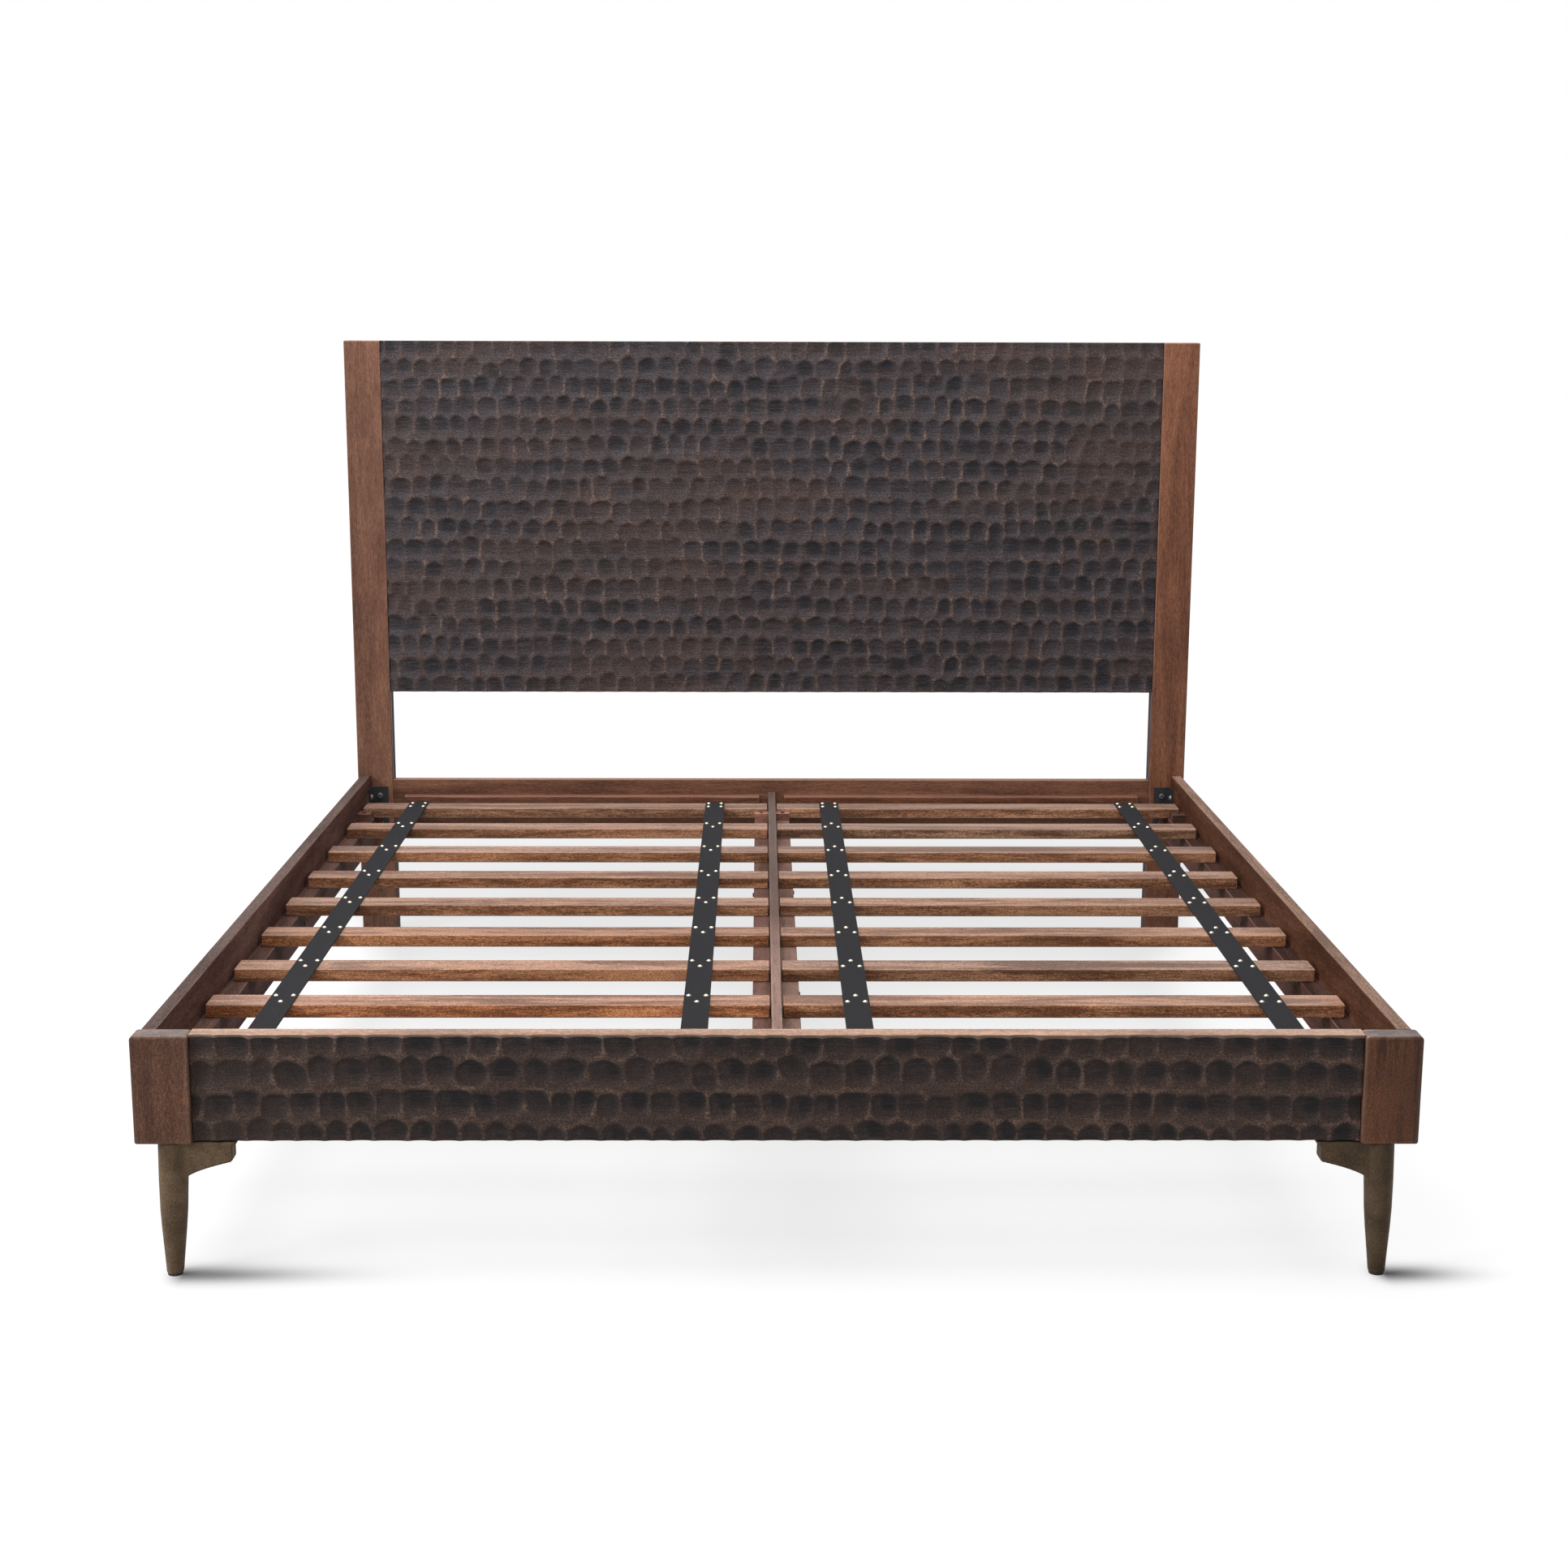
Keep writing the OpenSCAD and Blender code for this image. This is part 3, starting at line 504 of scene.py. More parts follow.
def slat(side, number):
    """One slat, of a wood drawn at random. Slats get paler and warmer towards the foot, most of all the left
    ones, and the last two are made paler still by a painted light."""
    footward = number - MIDDLE_SLAT
    tone = pick(side, 1.00, 1.06) + TONE_SPREAD * random.random() + pick(side, 0.045, 0.01) * footward
    if number > PAINTED_LIGHT_AFTER:
        tone += pick(side, 0.70, 0.55) / (number - PAINTED_LIGHT_AFTER) ** 2
    warm = random.uniform(-0.07, 0.09) + pick(side, 0.05 + 0.03 * footward, 0.01 * footward - 0.03)
    # The painted light and sheen on its top, a little different for each slat
    top = shade([SLAT_PAINTED_TOP_LIGHT], random.uniform(0.82, 1.07), random.uniform(-0.05, 0.05))[0]
    shift = [random.uniform(0, GRAIN_SPAN) for _ in range(3)]
    board(f"slat_{side}_{number}", X, shade(SLAT, tone, warm), edge=0.0018, top=top, worn=SLAT_WORN,
          figure=1.7, fleck=0.5, grit=0.5, crisp=1.7, shine=0.12, shift=shift)


for side in SIDES:
    for number in range(1, SLATS + 1):
        slat(side, number)

# Carved panels

# A row of bowls: the heights of its crowns and of its feet, the mean width of a bowl, how far a bowl narrows
# to its crown, from 0, square, to 1, pointed, how square its sides are, and how far past its foot it runs
# out, as a share of the row
Row = namedtuple("Row", "top foot pitch point square reach")

# Where stain pools in a bowl: how far aside and how wide, in the bowl's half widths, how far down, in its
# lengths, and how much it does so at most
Pool = namedtuple("Pool", "aside wide low most")

# How deep a middling bowl is cut
CUT_DEPTH = 0.0043
# A ridge stands above what lies this near to it
RIDGE_REACH = 0.007
# A row sways in two waves: how high, as a share of the row, and how fast, in radians to the metre
SLOW_WAVE = (0.07, 2.1)
QUICK_WAVE = (0.06, 6.3)
# The waves start anywhere in about a full turn
TURN = 6.28


def blur(field, radius):
    """A box blur, run twice, which is close to a soft round one."""
    size = 2 * radius + 1
    for _ in range(2):
        for axis in (0, 1):
            pad = [(0, 0), (0, 0)]
            pad[axis] = (radius + 1, radius)
            total = np.cumsum(np.pad(field, pad, mode="edge"), axis=axis)
            if axis == 0:
                field = (total[size:] - total[:-size]) / size
            else:
                field = (total[:, size:] - total[:, :-size]) / size
    return field


def wave(kind, place, start):
    high, fast = kind
    return high * math.sin(fast * place + start)


class Carving:
    """Gouge cuts over a panel: how deep they are, where stain and painted shade gather in them, and where a
    painted sheen lies low in them.
    They are rows of bowls, steep at the crown and running out at the foot."""

    def __init__(self, width, height, rows, step, seed, pool):
        self.rng = np.random.default_rng(seed)
        self.pool = pool
        self.x = np.linspace(-width / 2, width / 2, round(width / step) + 1)
        self.z = np.linspace(0, height, round(height / step) + 1)
        self.cut, self.pooled, self.painted_sheen = np.zeros((3, len(self.z), len(self.x)))
        for row in rows:
            self.carve_row(row, width)
        self.cut = blur(self.cut, 1)

    def carve_row(self, row, width):
        """Bowls side by side, from beyond the left end to beyond the right."""
        place = -width / 2 - row.pitch * self.rng.random()
        slow, quick, _ = self.rng.uniform(0, TURN, 3)
        # How dark the painted shade under this row's crowns is
        brow = self.rng.uniform(0.65, 1.0)
        while place < width / 2 + row.pitch:
            wide = row.pitch * np.clip(self.rng.normal(1, 0.13), 0.72, 1.35)
            centre = place + wide / 2
            sway = wave(SLOW_WAVE, centre, slow) + wave(QUICK_WAVE, centre, quick)
            self.carve_bowl(row, centre, wide, sway, brow)
            place += wide

    def carve_bowl(self, row, centre, wide, sway, brow):
        """One bowl, a little different from its row's mean. Where it cuts deeper than its neighbours, it also
        sets the stain with painted shade, and the painted sheen low in it. brow is how dark the painted shade
        under its crown is."""
        rng, pool = self.rng, self.pool
        tall = row.top - row.foot
        crown = row.top + tall * (sway + rng.normal(0, 0.06))
        length = tall * rng.uniform(0.94, 1.12)
        half = wide * rng.uniform(0.50, 0.58)
        deep = CUT_DEPTH * rng.uniform(0.72, 1.15)
        shape = row.square * rng.uniform(0.85, 1.2)
        tip = np.clip(row.point * rng.uniform(0.75, 1.2), 0, 0.95)
        lean = rng.normal(0, 0.10)
        heart = rng.uniform(0.26, 0.38)
        stain = rng.uniform(0.25, pool.most)
        aside = rng.normal(pool.aside, 0.16)
        first, last = np.searchsorted(self.x, (centre - 1.4 * half, centre + 1.4 * half))
        bottom, top = np.searchsorted(self.z, (crown - (1.05 + row.reach) * length, crown + 0.05 * length))
        if last <= first or top <= bottom:
            return
        window = (slice(bottom, top), slice(first, last))
        down = (crown - self.z[bottom:top, None]) / length
        above = np.maximum(heart - down, 0) / heart
        below = np.maximum(down - heart, 0) / (1 + row.reach - heart)
        crown_share = np.minimum(above, 1)
        across = self.x[None, first:last] - centre + lean * (down - 0.4) * length
        across = across / (half * (1 - tip * crown_share ** 1.5))
        scoop = deep * (1 - np.abs(across) ** shape - above ** 3.2 - below ** 2.2)
        beside_pool = ((across - aside) / pool.wide) ** 4
        below_pool = (np.maximum(down - pool.low, 0) / 0.28) ** 2
        # Stain pools in the bowl, and a painted shade lies under its crown
        blot = np.maximum(stain * np.exp(-beside_pool - below_pool), brow * crown_share ** 1.4)
        # A painted sheen lies on the lower part of the bowl, which faces up
        rise = np.clip((down - 0.52) / 0.35, 0, 1) * np.clip(1.2 - np.abs(across) ** 3, 0, 1)
        deeper = scoop > self.cut[window]
        self.pooled[window] = np.where(deeper, blot, self.pooled[window])
        self.painted_sheen[window] = np.where(deeper, rise, self.painted_sheen[window])
        self.cut[window] = np.maximum(self.cut[window], scoop)


def clear_box(node, holder):
    """A panel's box between the two posts or blocks that hold it, without its tongues."""
    low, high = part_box(node)
    inner = -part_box(holder)[1][X]
    return (-inner, low[Y], low[Z]), (inner, high[Y], high[Z])


# The materials of a carved panel, after its front's
TOP_SLOT = 1
REST_SLOT = 2


def carved_panel(name, box, rows, step, seed, pool):
    """A closed panel whose front is carved. Its other faces are flat. step is the size of a front face."""
    low, high = box
    carving = Carving(high[X] - low[X], high[Z] - low[Z], rows, step, seed, pool)
    cut = carving.cut
    x = carving.x + (low[X] + high[X]) / 2
    z = carving.z + low[Z]
    lines, columns = cut.shape
    front = np.stack(np.broadcast_arrays(x[None, :], low[Y] + cut, z[:, None]), axis=-1).reshape(-1, 3)
    index = np.arange(lines * columns).reshape(lines, columns)
    faces = np.stack([index[:-1, :-1], index[:-1, 1:], index[1:, 1:], index[1:, :-1]], axis=-1).reshape(-1, 4)
    rim = np.concatenate([index[0, :], index[1:, -1], index[-1, -2::-1], index[-2:0:-1, 0]])
    back = front[rim].copy()
    back[:, Y] = high[Y]
    start = len(front)
    ring = np.arange(len(rim))
    after = (ring + 1) % len(rim)
    walls = np.stack([rim[after], rim[ring], start + ring, start + after], axis=-1)
    quads = np.concatenate([faces, walls])
    mesh = bpy.data.meshes.new(name)
    mesh.from_pydata(np.concatenate([front, back]).tolist(), [], quads.tolist() + [(start + ring).tolist()])

    ridge = np.clip((blur(cut, round(RIDGE_REACH / step)) - cut) / (0.20 * CUT_DEPTH), 0, 1)
    land = np.clip(1 - cut / (0.7 * CUT_DEPTH), 0, 1)
    marks = {
        "ridge": ridge,
        "land": blur(land, 1),
        "pooled": blur(carving.pooled, 1),
        "painted_sheen": blur(carving.painted_sheen, 1),
    }
    unmarked = np.zeros(len(back))
    for key, values in marks.items():
        attribute = mesh.attributes.new(key, "FLOAT", "POINT")
        attribute.data.foreach_set("value", np.concatenate([values.ravel(), unmarked]).astype(np.float32))

    slots = np.zeros(len(mesh.polygons), np.int32)
    slots[len(faces):] = REST_SLOT
    first_upper = len(faces) + columns - 1 + lines - 1
    slots[first_upper : first_upper + columns - 1] = TOP_SLOT
    mesh.polygons.foreach_set("material_index", slots)
    smooth = np.zeros(len(mesh.polygons), bool)
    smooth[: len(faces)] = True
    mesh.polygons.foreach_set("use_smooth", smooth)
    mesh.update()
    piece = bpy.data.objects.new(name, mesh)
    scene.collection.objects.link(piece)
    return piece


# The grain's depth under the carving's stain, and where, from left to right, a painted shade at the left
# fades out
CARVED_GRAIN_DEPTH = 0.0013
LEFT_PAINTED_SHADE = (-0.9, 0.5)

# A rubbed rim reaches down by a ragged width, and further on the lands between the cuts, and then fades out
RIM_RAGGED = 0.004
RIM_ON_LAND = 0.0045
RIM_FADE = (-0.0004, 0.0012)


def carved_wood(name, base, pool, land, painted_sheen, crest, rust, rub, seed, rim=None, rim_height=0, left_light=1.0):
    """Gouged wood under a dark stain: stain and painted shade gathered in the hollows, a painted sheen low in
    each bowl, rubbed lands and crests, and long warm patches.

    base, pool, land, crest and rust are their colours, and one more is the colour of the painted sheen; pool
    is stain with painted shade. rub is how much the lands are rubbed where they are rubbed least, and the
    ridges are rubbed along with them. rim is the colour of a rubbed upper edge, which is at rim_height, and
    left_light how much of the colour a painted shade leaves at the left."""
    t = material_tree(name)
    long_way = t.drawn_out(X, 0.28, (seed, 0, 0))
    grain = t.drawn_out(X, 0.07, (seed, 2, 0))
    patch = t.noise(long_way, scale=6, detail=4, rough=0.6)
    cool = t.noise(t.drawn_out(X, 0.5, (seed, 5, 3)), scale=4, detail=3, rough=0.55)
    streak = t.noise(grain, scale=130, detail=4, rough=0.65)
    fibre = t.noise(grain, scale=420, detail=3, rough=0.65)
    speck = t.noise(t.here, scale=330, detail=3, rough=0.65)
    grit = t.noise(t.drawn_out(X, 0.6, (seed, 8, 0)), scale=600, detail=2, rough=0.7)
    colour = t.mix(t.fit(streak, *MOST), scaled(base, 0.62), scaled(base, 1.38))
    cooler = (0.85 * base[0], 0.97 * base[1], 1.12 * base[2])
    colour = t.mix(t.fit(cool, 0.42, 0.62, 0, 0.75), colour, cooler)
    # A painted sheen lightens the lower part of each bowl
    colour = t.mix(t.math("MULTIPLY", t.attribute("painted_sheen"), 0.6), colour, painted_sheen)
    # Stain, with painted shade under the crowns, darkens the hollows
    colour = t.mix(t.fit(t.attribute("pooled"), 0.05, 0.75, 0, 0.95, smooth=True), colour, pool)
    rubbed = t.math("MULTIPLY", t.fit(t.attribute("land"), 0.1, 0.9, 0, 1, smooth=True),
                    t.fit(t.noise(long_way, scale=22, detail=4, rough=0.6), 0.40, 0.64, rub, 0.9))
    colour = t.mix(rubbed, colour, land)
    colour = t.mix(t.fit(patch, 0.50, 0.66, 0, 0.6), colour, rust)
    handled = t.noise(t.here, scale=24, detail=4, rough=0.6)
    bright = t.math("MULTIPLY", t.fit(t.attribute("ridge"), 0.4, 1.0, 0, 1, smooth=True),
                    t.fit(handled, 0.5 - 0.3 * rub, 0.72 - 0.2 * rub, 0.04, 1))
    bright = t.math("MULTIPLY", bright, t.fit(speck, 0.4, 0.6, 0.2 + 0.7 * rub, 1))
    colour = t.mix(bright, colour, crest)
    colour = t.mix(t.fit(fibre, 0.50, 0.70, 0, 0.5), colour, scaled(base, 2.0))
    colour = t.lit(colour, t.fit(speck, *MIDDLE, 0.58, 1.46))
    colour = t.lit(colour, t.fit(grit, *MIDDLE, 0.50, 1.54))
    # A painted shade darkens the left end
    colour = t.lit(colour, t.fit(t.place(X), *LEFT_PAINTED_SHADE, left_light, 1.0))
    if rim:
        below_rim = t.math("SUBTRACT", rim_height, t.place(Z))
        ragged = t.noise(t.here, scale=60, detail=3, rough=0.6)
        wide = t.weighted((ragged, RIM_RAGGED), (t.attribute("land"), RIM_ON_LAND))
        past = t.math("SUBTRACT", below_rim, wide)
        colour = t.mix(t.fit(past, *RIM_FADE, 0.85, 0, smooth=True), colour, rim)
    height = t.weighted((fibre, 0.8), (streak, 1.3), (speck, 0.6), (grit, 0.5))
    rough = t.fit(speck, *NEARLY_ALL, 0.5, 0.7)
    return t.surface(colour, rough, t.bump(height, CARVED_GRAIN_DEPTH), Specular_IOR_Level=0.20)


# Headboard

HEAD_BOX = clear_box("headboard_panel", "headboard_post_left")
HEAD_TALL = HEAD_BOX[1][Z] - HEAD_BOX[0][Z]
HEAD_ROW = 0.0474
HEAD_BOWL = 0.044
FIRST_ROW_ABOVE_TOP = 0.012

# How pointed and how square the bowls are, row by row, over and over
POINTS = (0.45, 0.75, 0.3, 0.6, 0.8)
SQUARES = (2.6, 2.2, 3.2, 2.4)

head_rows = []
for i in range(math.ceil(HEAD_TALL / HEAD_ROW) + 1):
    crown = HEAD_TALL + FIRST_ROW_ABOVE_TOP - i * HEAD_ROW
    head_rows.append(Row(crown, crown - HEAD_ROW, pitch=HEAD_BOWL, point=POINTS[i % len(POINTS)],
                         square=SQUARES[i % len(SQUARES)], reach=0.30))
headboard = carved_panel("headboard_carving", HEAD_BOX, head_rows, step=0.0024, seed=7,
                         pool=Pool(aside=0.08, wide=0.80, low=0.52, most=0.75))
headboard.data.materials.append(carved_wood(
    "stained_headboard",
    base=(0.0365, 0.0278, 0.0295),
    pool=(0.0066, 0.0063, 0.0090),
    land=(0.057, 0.0375, 0.032),
    painted_sheen=(0.058, 0.0475, 0.0510),
    crest=(0.165, 0.108, 0.086),
    rust=(0.064, 0.037, 0.028),
    rub=0.20, seed=3.0))
for part in ("top", "back"):
    headboard.data.materials.append(wood("headboard_" + part, X, STAIN, HEAD_BOX))
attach(headboard, "root")
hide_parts("headboard_panel")

# Foot rail

FOOT_BOX = clear_box("foot_rail", "foot_block_left")
FOOT_TALL = FOOT_BOX[1][Z] - FOOT_BOX[0][Z]
RIM_BELOW_TOP = 0.0015

# Square bowls stand over pointed ones, twice. Each row's crowns and feet are taken down from the rail's top
foot_rows = [Row(FOOT_TALL + 0.003, FOOT_TALL - 0.038, pitch=0.0495, point=0.15, square=4.5, reach=0.06),
             Row(FOOT_TALL - 0.039, FOOT_TALL - 0.088, pitch=0.0485, point=0.90, square=3.6, reach=0.03),
             Row(FOOT_TALL - 0.095, FOOT_TALL - 0.138, pitch=0.0440, point=0.20, square=4.0, reach=0.05),
             Row(FOOT_TALL - 0.141, FOOT_TALL - 0.193, pitch=0.0440, point=0.75, square=3.0, reach=0.05)]
foot = carved_panel("foot_carving", FOOT_BOX, foot_rows, step=0.002, seed=11,
                    pool=Pool(aside=0.32, wide=0.62, low=0.40, most=1.0))
foot.data.materials.append(carved_wood(
    "stained_foot",
    base=(0.0340, 0.0225, 0.0200),
    pool=(0.0062, 0.0055, 0.0070),
    land=(0.080, 0.049, 0.038),
    painted_sheen=(0.047, 0.029, 0.0235),
    crest=(0.158, 0.098, 0.074),
    rust=(0.062, 0.036, 0.026),
    rim=(0.290, 0.185, 0.135),
    rub=0.40, seed=9.0, rim_height=FOOT_BOX[1][Z] - RIM_BELOW_TOP, left_light=0.82))
foot.data.materials.append(wood("foot_rail_top", X, SLAT, FOOT_BOX, top=FOOT_RAIL_PAINTED_TOP_LIGHT, fleck=0.8, grit=0.35))
foot.data.materials.append(wood("foot_rail_back", X, RAIL, FOOT_BOX))
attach(foot, "root")
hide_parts("foot_rail")

# Cast legs

BRONZE_DARK = (0.048, 0.031, 0.019)
BRONZE = (0.102, 0.067, 0.040)
BRONZE_LIGHT = (0.175, 0.120, 0.072)
BRONZE_FLECK = (0.34, 0.26, 0.17)
CAST_GRAIN_DEPTH = 0.0005
CAST_VOXEL = 0.0018


def bronze(name, level):
    """Grainy bronze-coloured casting. level is how light it is made: a painted light, set for each leg."""
    t = material_tree(name)
    grain = t.noise(t.here, scale=900, detail=3, rough=0.7)
    cloud = t.noise(t.here, scale=18, detail=4, rough=0.6)
    fleck = t.fit(t.noise(t.here, scale=1500, detail=1, rough=0.5), 0.62, 0.75)
    tone = t.weighted((cloud, 0.5), (grain, 0.5))
    colour = t.ramp(tone, [(0.38, BRONZE_DARK), (0.5, BRONZE), (0.65, BRONZE_LIGHT)])
    colour = t.mix(t.math("MULTIPLY", fleck, 0.5), colour, BRONZE_FLECK)
    colour = t.lit(colour, t.fit(grain, *MIDDLE, 0.7 * level, 1.35 * level))
    rough = t.fit(grain, *NEARLY_ALL, 0.50, 0.66)
    return t.surface(colour, rough, t.bump(grain, CAST_GRAIN_DEPTH), Metallic=0.1, Specular_IOR_Level=0.12)


def cast_leg(side):
    """A leg with its edges and inner corners softened, as casting leaves them."""
    # Painted light: the left leg is made lighter and the right darker, as the light falls from the left
    dress("front_leg_" + side, bronze("antique_bronze_" + side, pick(side, 1.36, 0.95)))
    piece = nodes["front_leg_" + side]
    weld(piece)
    remesh = piece.modifiers.new("cast", "REMESH")
    remesh.mode = "VOXEL"
    remesh.voxel_size = CAST_VOXEL
    remesh.use_smooth_shade = True
    soften = piece.modifiers.new("soften", "SMOOTH")
    soften.factor = 0.5
    soften.iterations = 9


for side in SIDES:
    cast_leg(side)

# Steel, brass and plastic

METAL_GRAIN_DEPTH = 0.00015


def metal(name, colour, rough, metallic, worn=None):
    t = material_tree(name)
    fine = t.noise(t.here, scale=600, detail=3, rough=0.65)
    cloud = t.noise(t.here, scale=40, detail=3, rough=0.6)
    tone = t.mix(t.fit(cloud, *MOST), scaled(colour, 0.75), colour)
    if worn:
        tone = t.mix(t.fit(fine, 0.6, 0.8, 0, 0.7), tone, worn)
    rough = t.fit(fine, *NEARLY_ALL, rough - 0.08, rough + 0.1)
    return t.surface(tone, rough, t.bump(fine, METAL_GRAIN_DEPTH), Metallic=metallic)


black_steel = metal("black_steel", (0.030, 0.030, 0.033), rough=0.45, metallic=0.3, worn=(0.09, 0.09, 0.09))
zinc = metal("zinc", (0.55, 0.54, 0.52), rough=0.35, metallic=1.0)
black_zinc = metal("black_zinc", (0.16, 0.16, 0.165), rough=0.34, metallic=0.5, worn=(0.50, 0.49, 0.48))
screw_steel = metal("blackened_screws", (0.030, 0.027, 0.026), rough=0.6, metallic=0.2)
brass = metal("pale_brass", (0.60, 0.55, 0.41), rough=0.32, metallic=1.0)
plastic = metal("black_plastic", (0.018, 0.018, 0.018), rough=0.55, metallic=0.0)
FITTINGS = {
    "corner_bracket": black_steel,
    "beam_hanger": black_steel,
    "frame_bolts": black_zinc,
    "wood_screws": screw_steel,
    "leg_screws": zinc,
    "leveller": zinc,
    "strap_nails": brass,
    "floor_glides": plastic,
}
for node in nodes:
    for start, material in FITTINGS.items():
        if node.startswith(start):
            dress(node, material)

# Webbing

RIB_PITCH = 0.0022
WEFT_PITCH = 0.0016
WEAVE_DEPTH = 0.0003
WEB_DARK = (0.0080, 0.0078, 0.0092)
WEB_LIGHT = (0.0196, 0.0190, 0.0222)
LINT = (0.060, 0.058, 0.064)


def webbing(name):
    """Woven strap, with ribs along it, wefts across it and a little lint."""
    t = material_tree(name)
    rib = t.math("SINE", t.math("MULTIPLY", t.place(X), 2 * math.pi / RIB_PITCH))
    weft = t.math("SINE", t.math("MULTIPLY", t.place(Y), 2 * math.pi / WEFT_PITCH))
    weave = t.math("MULTIPLY", rib, weft)
    lint = t.noise(t.here, scale=300, detail=4, rough=0.7)
    colour = t.mix(t.fit(weave, -1, 1), WEB_DARK, WEB_LIGHT)
    colour = t.mix(t.fit(lint, 0.5, 0.8, 0, 0.4), colour, LINT)
    height = t.weighted((weave, 1.0), (lint, 0.6))
    rough = t.fit(lint, *NEARLY_ALL, 0.6, 0.8)
    return t.surface(colour, rough, t.bump(height, WEAVE_DEPTH), Specular_IOR_Level=0.08)


web = webbing("charcoal_webbing")
for side in SIDES:
    for place in ("outer", "inner"):
        dress(f"strap_{side}_{place}", web)

# Floor

FLOOR_REACH = 30.0

# The floor's colour to the light that falls on the bed from it, and to the camera, which sees its glow too
FLOOR_FOR_LIGHT = (0.25, 0.25, 0.25)
FLOOR_SEEN = (0.18, 0.18, 0.18)

# The glow is weaker near the bed than far away
NEAR = 1.8
FAR = 6.0
NEAR_GLOW = 0.815

# It is weaker still in a painted shade under the bed, which fades over these spans at its sides, front and
# back
SHADE_HALF = (0.86, 1.00)
SHADE_FRONT = (-1.15, -0.99)
SHADE_BACK = (1.9, 2.6)

# The painted shade narrows behind the headboard, and deepens from the foot to the head
NARROWS = (0.8, 1.6)
NARROWS_BY = 0.30
DEEPENS = (-0.5, 1.5)
SHADE_DEPTH = (0.105, 0.195)

# The painted shadows beside the front feet: each foot's x and how far its painted shadow reaches to the right
PAINTED_FOOT_SHADOWS = ((-0.962, 0.200), (0.963, 0.110))

# How far to the right of its foot a blot's middle is, its y, and how much of the glow it takes away there
BLOT_OFFSET = 0.02
BLOT_Y = -1.046
BLOT_STRENGTH = 0.97

# How far a blot reaches to the left, and to the front and back, and where its left side turns to its right
BLOT_LEFT = 0.025
BLOT_DEEP = 0.033
BLOT_TURN = (-0.01, 0.01)


def painted_foot_shadow(t, x, y, foot, long):
    """1 at the middle of the painted shadow beside a foot, falling off to 0 around it, more slowly to the
    right.
    """
    dx = t.math("SUBTRACT", x, foot + BLOT_OFFSET)
    dx = t.math("DIVIDE", dx, t.fit(dx, *BLOT_TURN, BLOT_LEFT, long))
    dy = t.math("DIVIDE", t.math("SUBTRACT", y, BLOT_Y), BLOT_DEEP)
    squares = [t.math("POWER", t.math("ABSOLUTE", d), 2.0) for d in (dx, dy)]
    return t.math("EXPONENT", t.math("MULTIPLY", t.math("ADD", *squares), -1.0))


def floor_material(name):
    """A white floor whose own glow is weaker under the bed, behind its headboard and beside the front feet:
    painted shade and painted shadows, over the shadow that the floor keeps."""
    t = material_tree(name)
    diffuse = t.add("ShaderNodeBsdfDiffuse")
    seen = t.seen()
    t.put(t.mix(seen, FLOOR_FOR_LIGHT, FLOOR_SEEN), diffuse.inputs["Color"])
    x, y = t.place(X), t.place(Y)
    away = t.math("SQRT", t.math("ADD", t.math("POWER", x, 2.0), t.math("POWER", y, 2.0)))
    strength = t.fit(away, NEAR, FAR, NEAR_GLOW, 1.0, smooth=True)
    beside = t.math("SUBTRACT", t.math("ABSOLUTE", x), t.fit(y, *NARROWS, 0, NARROWS_BY))
    painted_shade = t.math("MULTIPLY", t.fit(beside, *SHADE_HALF, 1, 0, smooth=True),
                    t.fit(y, *SHADE_FRONT, 0, 1, smooth=True))
    painted_shade = t.math("MULTIPLY", painted_shade, t.fit(y, *SHADE_BACK, 1, 0, smooth=True))
    strength = t.math("SUBTRACT", strength, t.math("MULTIPLY", painted_shade, t.fit(y, *DEEPENS, *SHADE_DEPTH)))
    # Painted shadows beside the front feet
    for foot_x, long in PAINTED_FOOT_SHADOWS:
        blot = t.math("MULTIPLY", painted_foot_shadow(t, x, y, foot_x, long), BLOT_STRENGTH)
        strength = t.math("MULTIPLY", strength, t.math("SUBTRACT", 1.0, blot))
    glow = t.add("ShaderNodeEmission")
    t.put(t.math("MULTIPLY", seen, strength), glow.inputs["Strength"])
    both = t.add("ShaderNodeAddShader")
    t.links.new(diffuse.outputs[0], both.inputs[0])
    t.links.new(glow.outputs[0], both.inputs[1])
    return t.finish("ShaderNodeOutputMaterial", both)


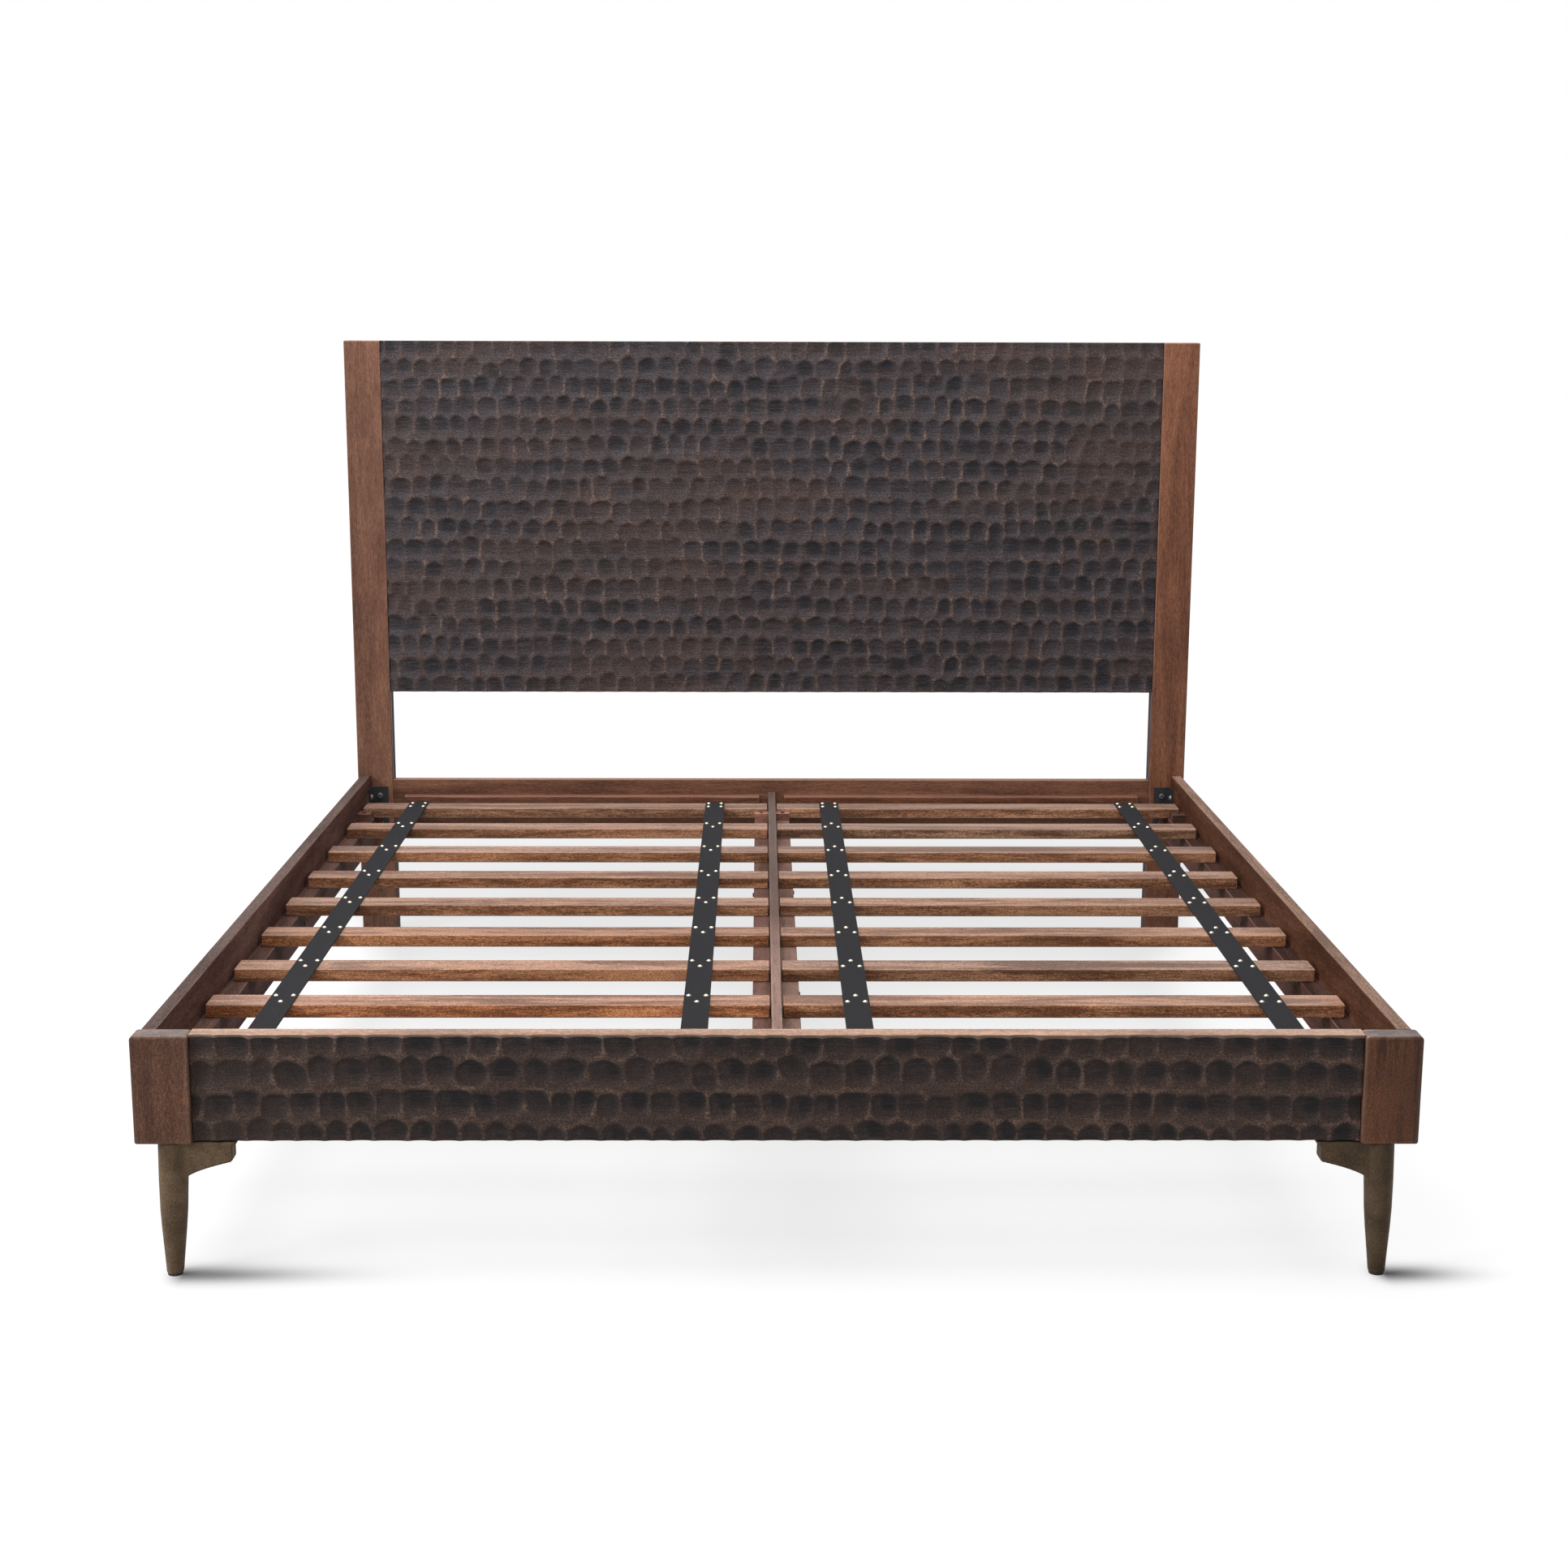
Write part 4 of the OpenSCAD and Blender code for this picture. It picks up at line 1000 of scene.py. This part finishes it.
mesh = bpy.data.meshes.new("floor")
corners = [(i * FLOOR_REACH, j * FLOOR_REACH, 0) for i, j in ((-1, -1), (1, -1), (1, 1), (-1, 1))]
mesh.from_pydata(corners, [], [(0, 1, 2, 3)])
floor = bpy.data.objects.new("floor", mesh)
scene.collection.objects.link(floor)
floor.data.materials.append(floor_material("pale_floor"))

# Surround and lights

# How bright the surround is as a light, and as it is seen
SKY_LIGHT = 0.36
SKY_SEEN = 1.0


def surround(name):
    """A white surround, which gives the bed less light than it looks to."""
    t = Tree(bpy.data.worlds.new(name))
    sky = t.add("ShaderNodeBackground")
    t.put((1, 1, 1), sky.inputs["Color"])
    t.put(t.fit(t.seen(), 0, 1, SKY_LIGHT, SKY_SEEN), sky.inputs["Strength"])
    return t.finish("ShaderNodeOutputWorld", sky)


def softbox(name, place, target, size, power):
    light = bpy.data.lights.new(name, "AREA")
    light.shape = "SQUARE"
    light.size = size
    light.energy = power
    lamp = bpy.data.objects.new(name, light)
    scene.collection.objects.link(lamp)
    lamp.location = place
    lamp.rotation_euler = (Vector(target) - Vector(place)).to_track_quat("-Z", "Y").to_euler()


scene.world = surround("studio")
softbox("overhead", place=(-0.6, -0.1, 4.2), target=(-0.2, 0, 0), size=4.0, power=290)
softbox("left_key", place=(-4.5, -2.8, 2.6), target=(-0.2, -0.4, 0.5), size=1.6, power=150)

# Camera, as fitted to the photograph's straight edges

SENSOR = 36
FOCAL_LENGTH = 53.146
SHIFT = 0.00203
CAMERA_PLACE = (-0.02905, -4.52348, 1.50636)
YAW, PITCH, ROLL = 0.0093, 0.2, 0.003

camera = bpy.data.cameras.new("camera")
camera.sensor_width = SENSOR
camera.lens = FOCAL_LENGTH
camera.shift_x = SHIFT
forward = Vector((math.sin(YAW) * math.cos(PITCH), math.cos(YAW) * math.cos(PITCH), -math.sin(PITCH)))
level_right = Vector((math.cos(YAW), -math.sin(YAW), 0))
level_above = level_right.cross(forward)
right = math.cos(ROLL) * level_right + math.sin(ROLL) * level_above
above = -math.sin(ROLL) * level_right + math.cos(ROLL) * level_above
view = bpy.data.objects.new("camera", camera)
scene.collection.objects.link(view)
matrix = Matrix((right, above, -forward)).transposed().to_4x4()
matrix.translation = CAMERA_PLACE
view.matrix_world = matrix
scene.camera = view
scene.view_settings.view_transform = "Standard"
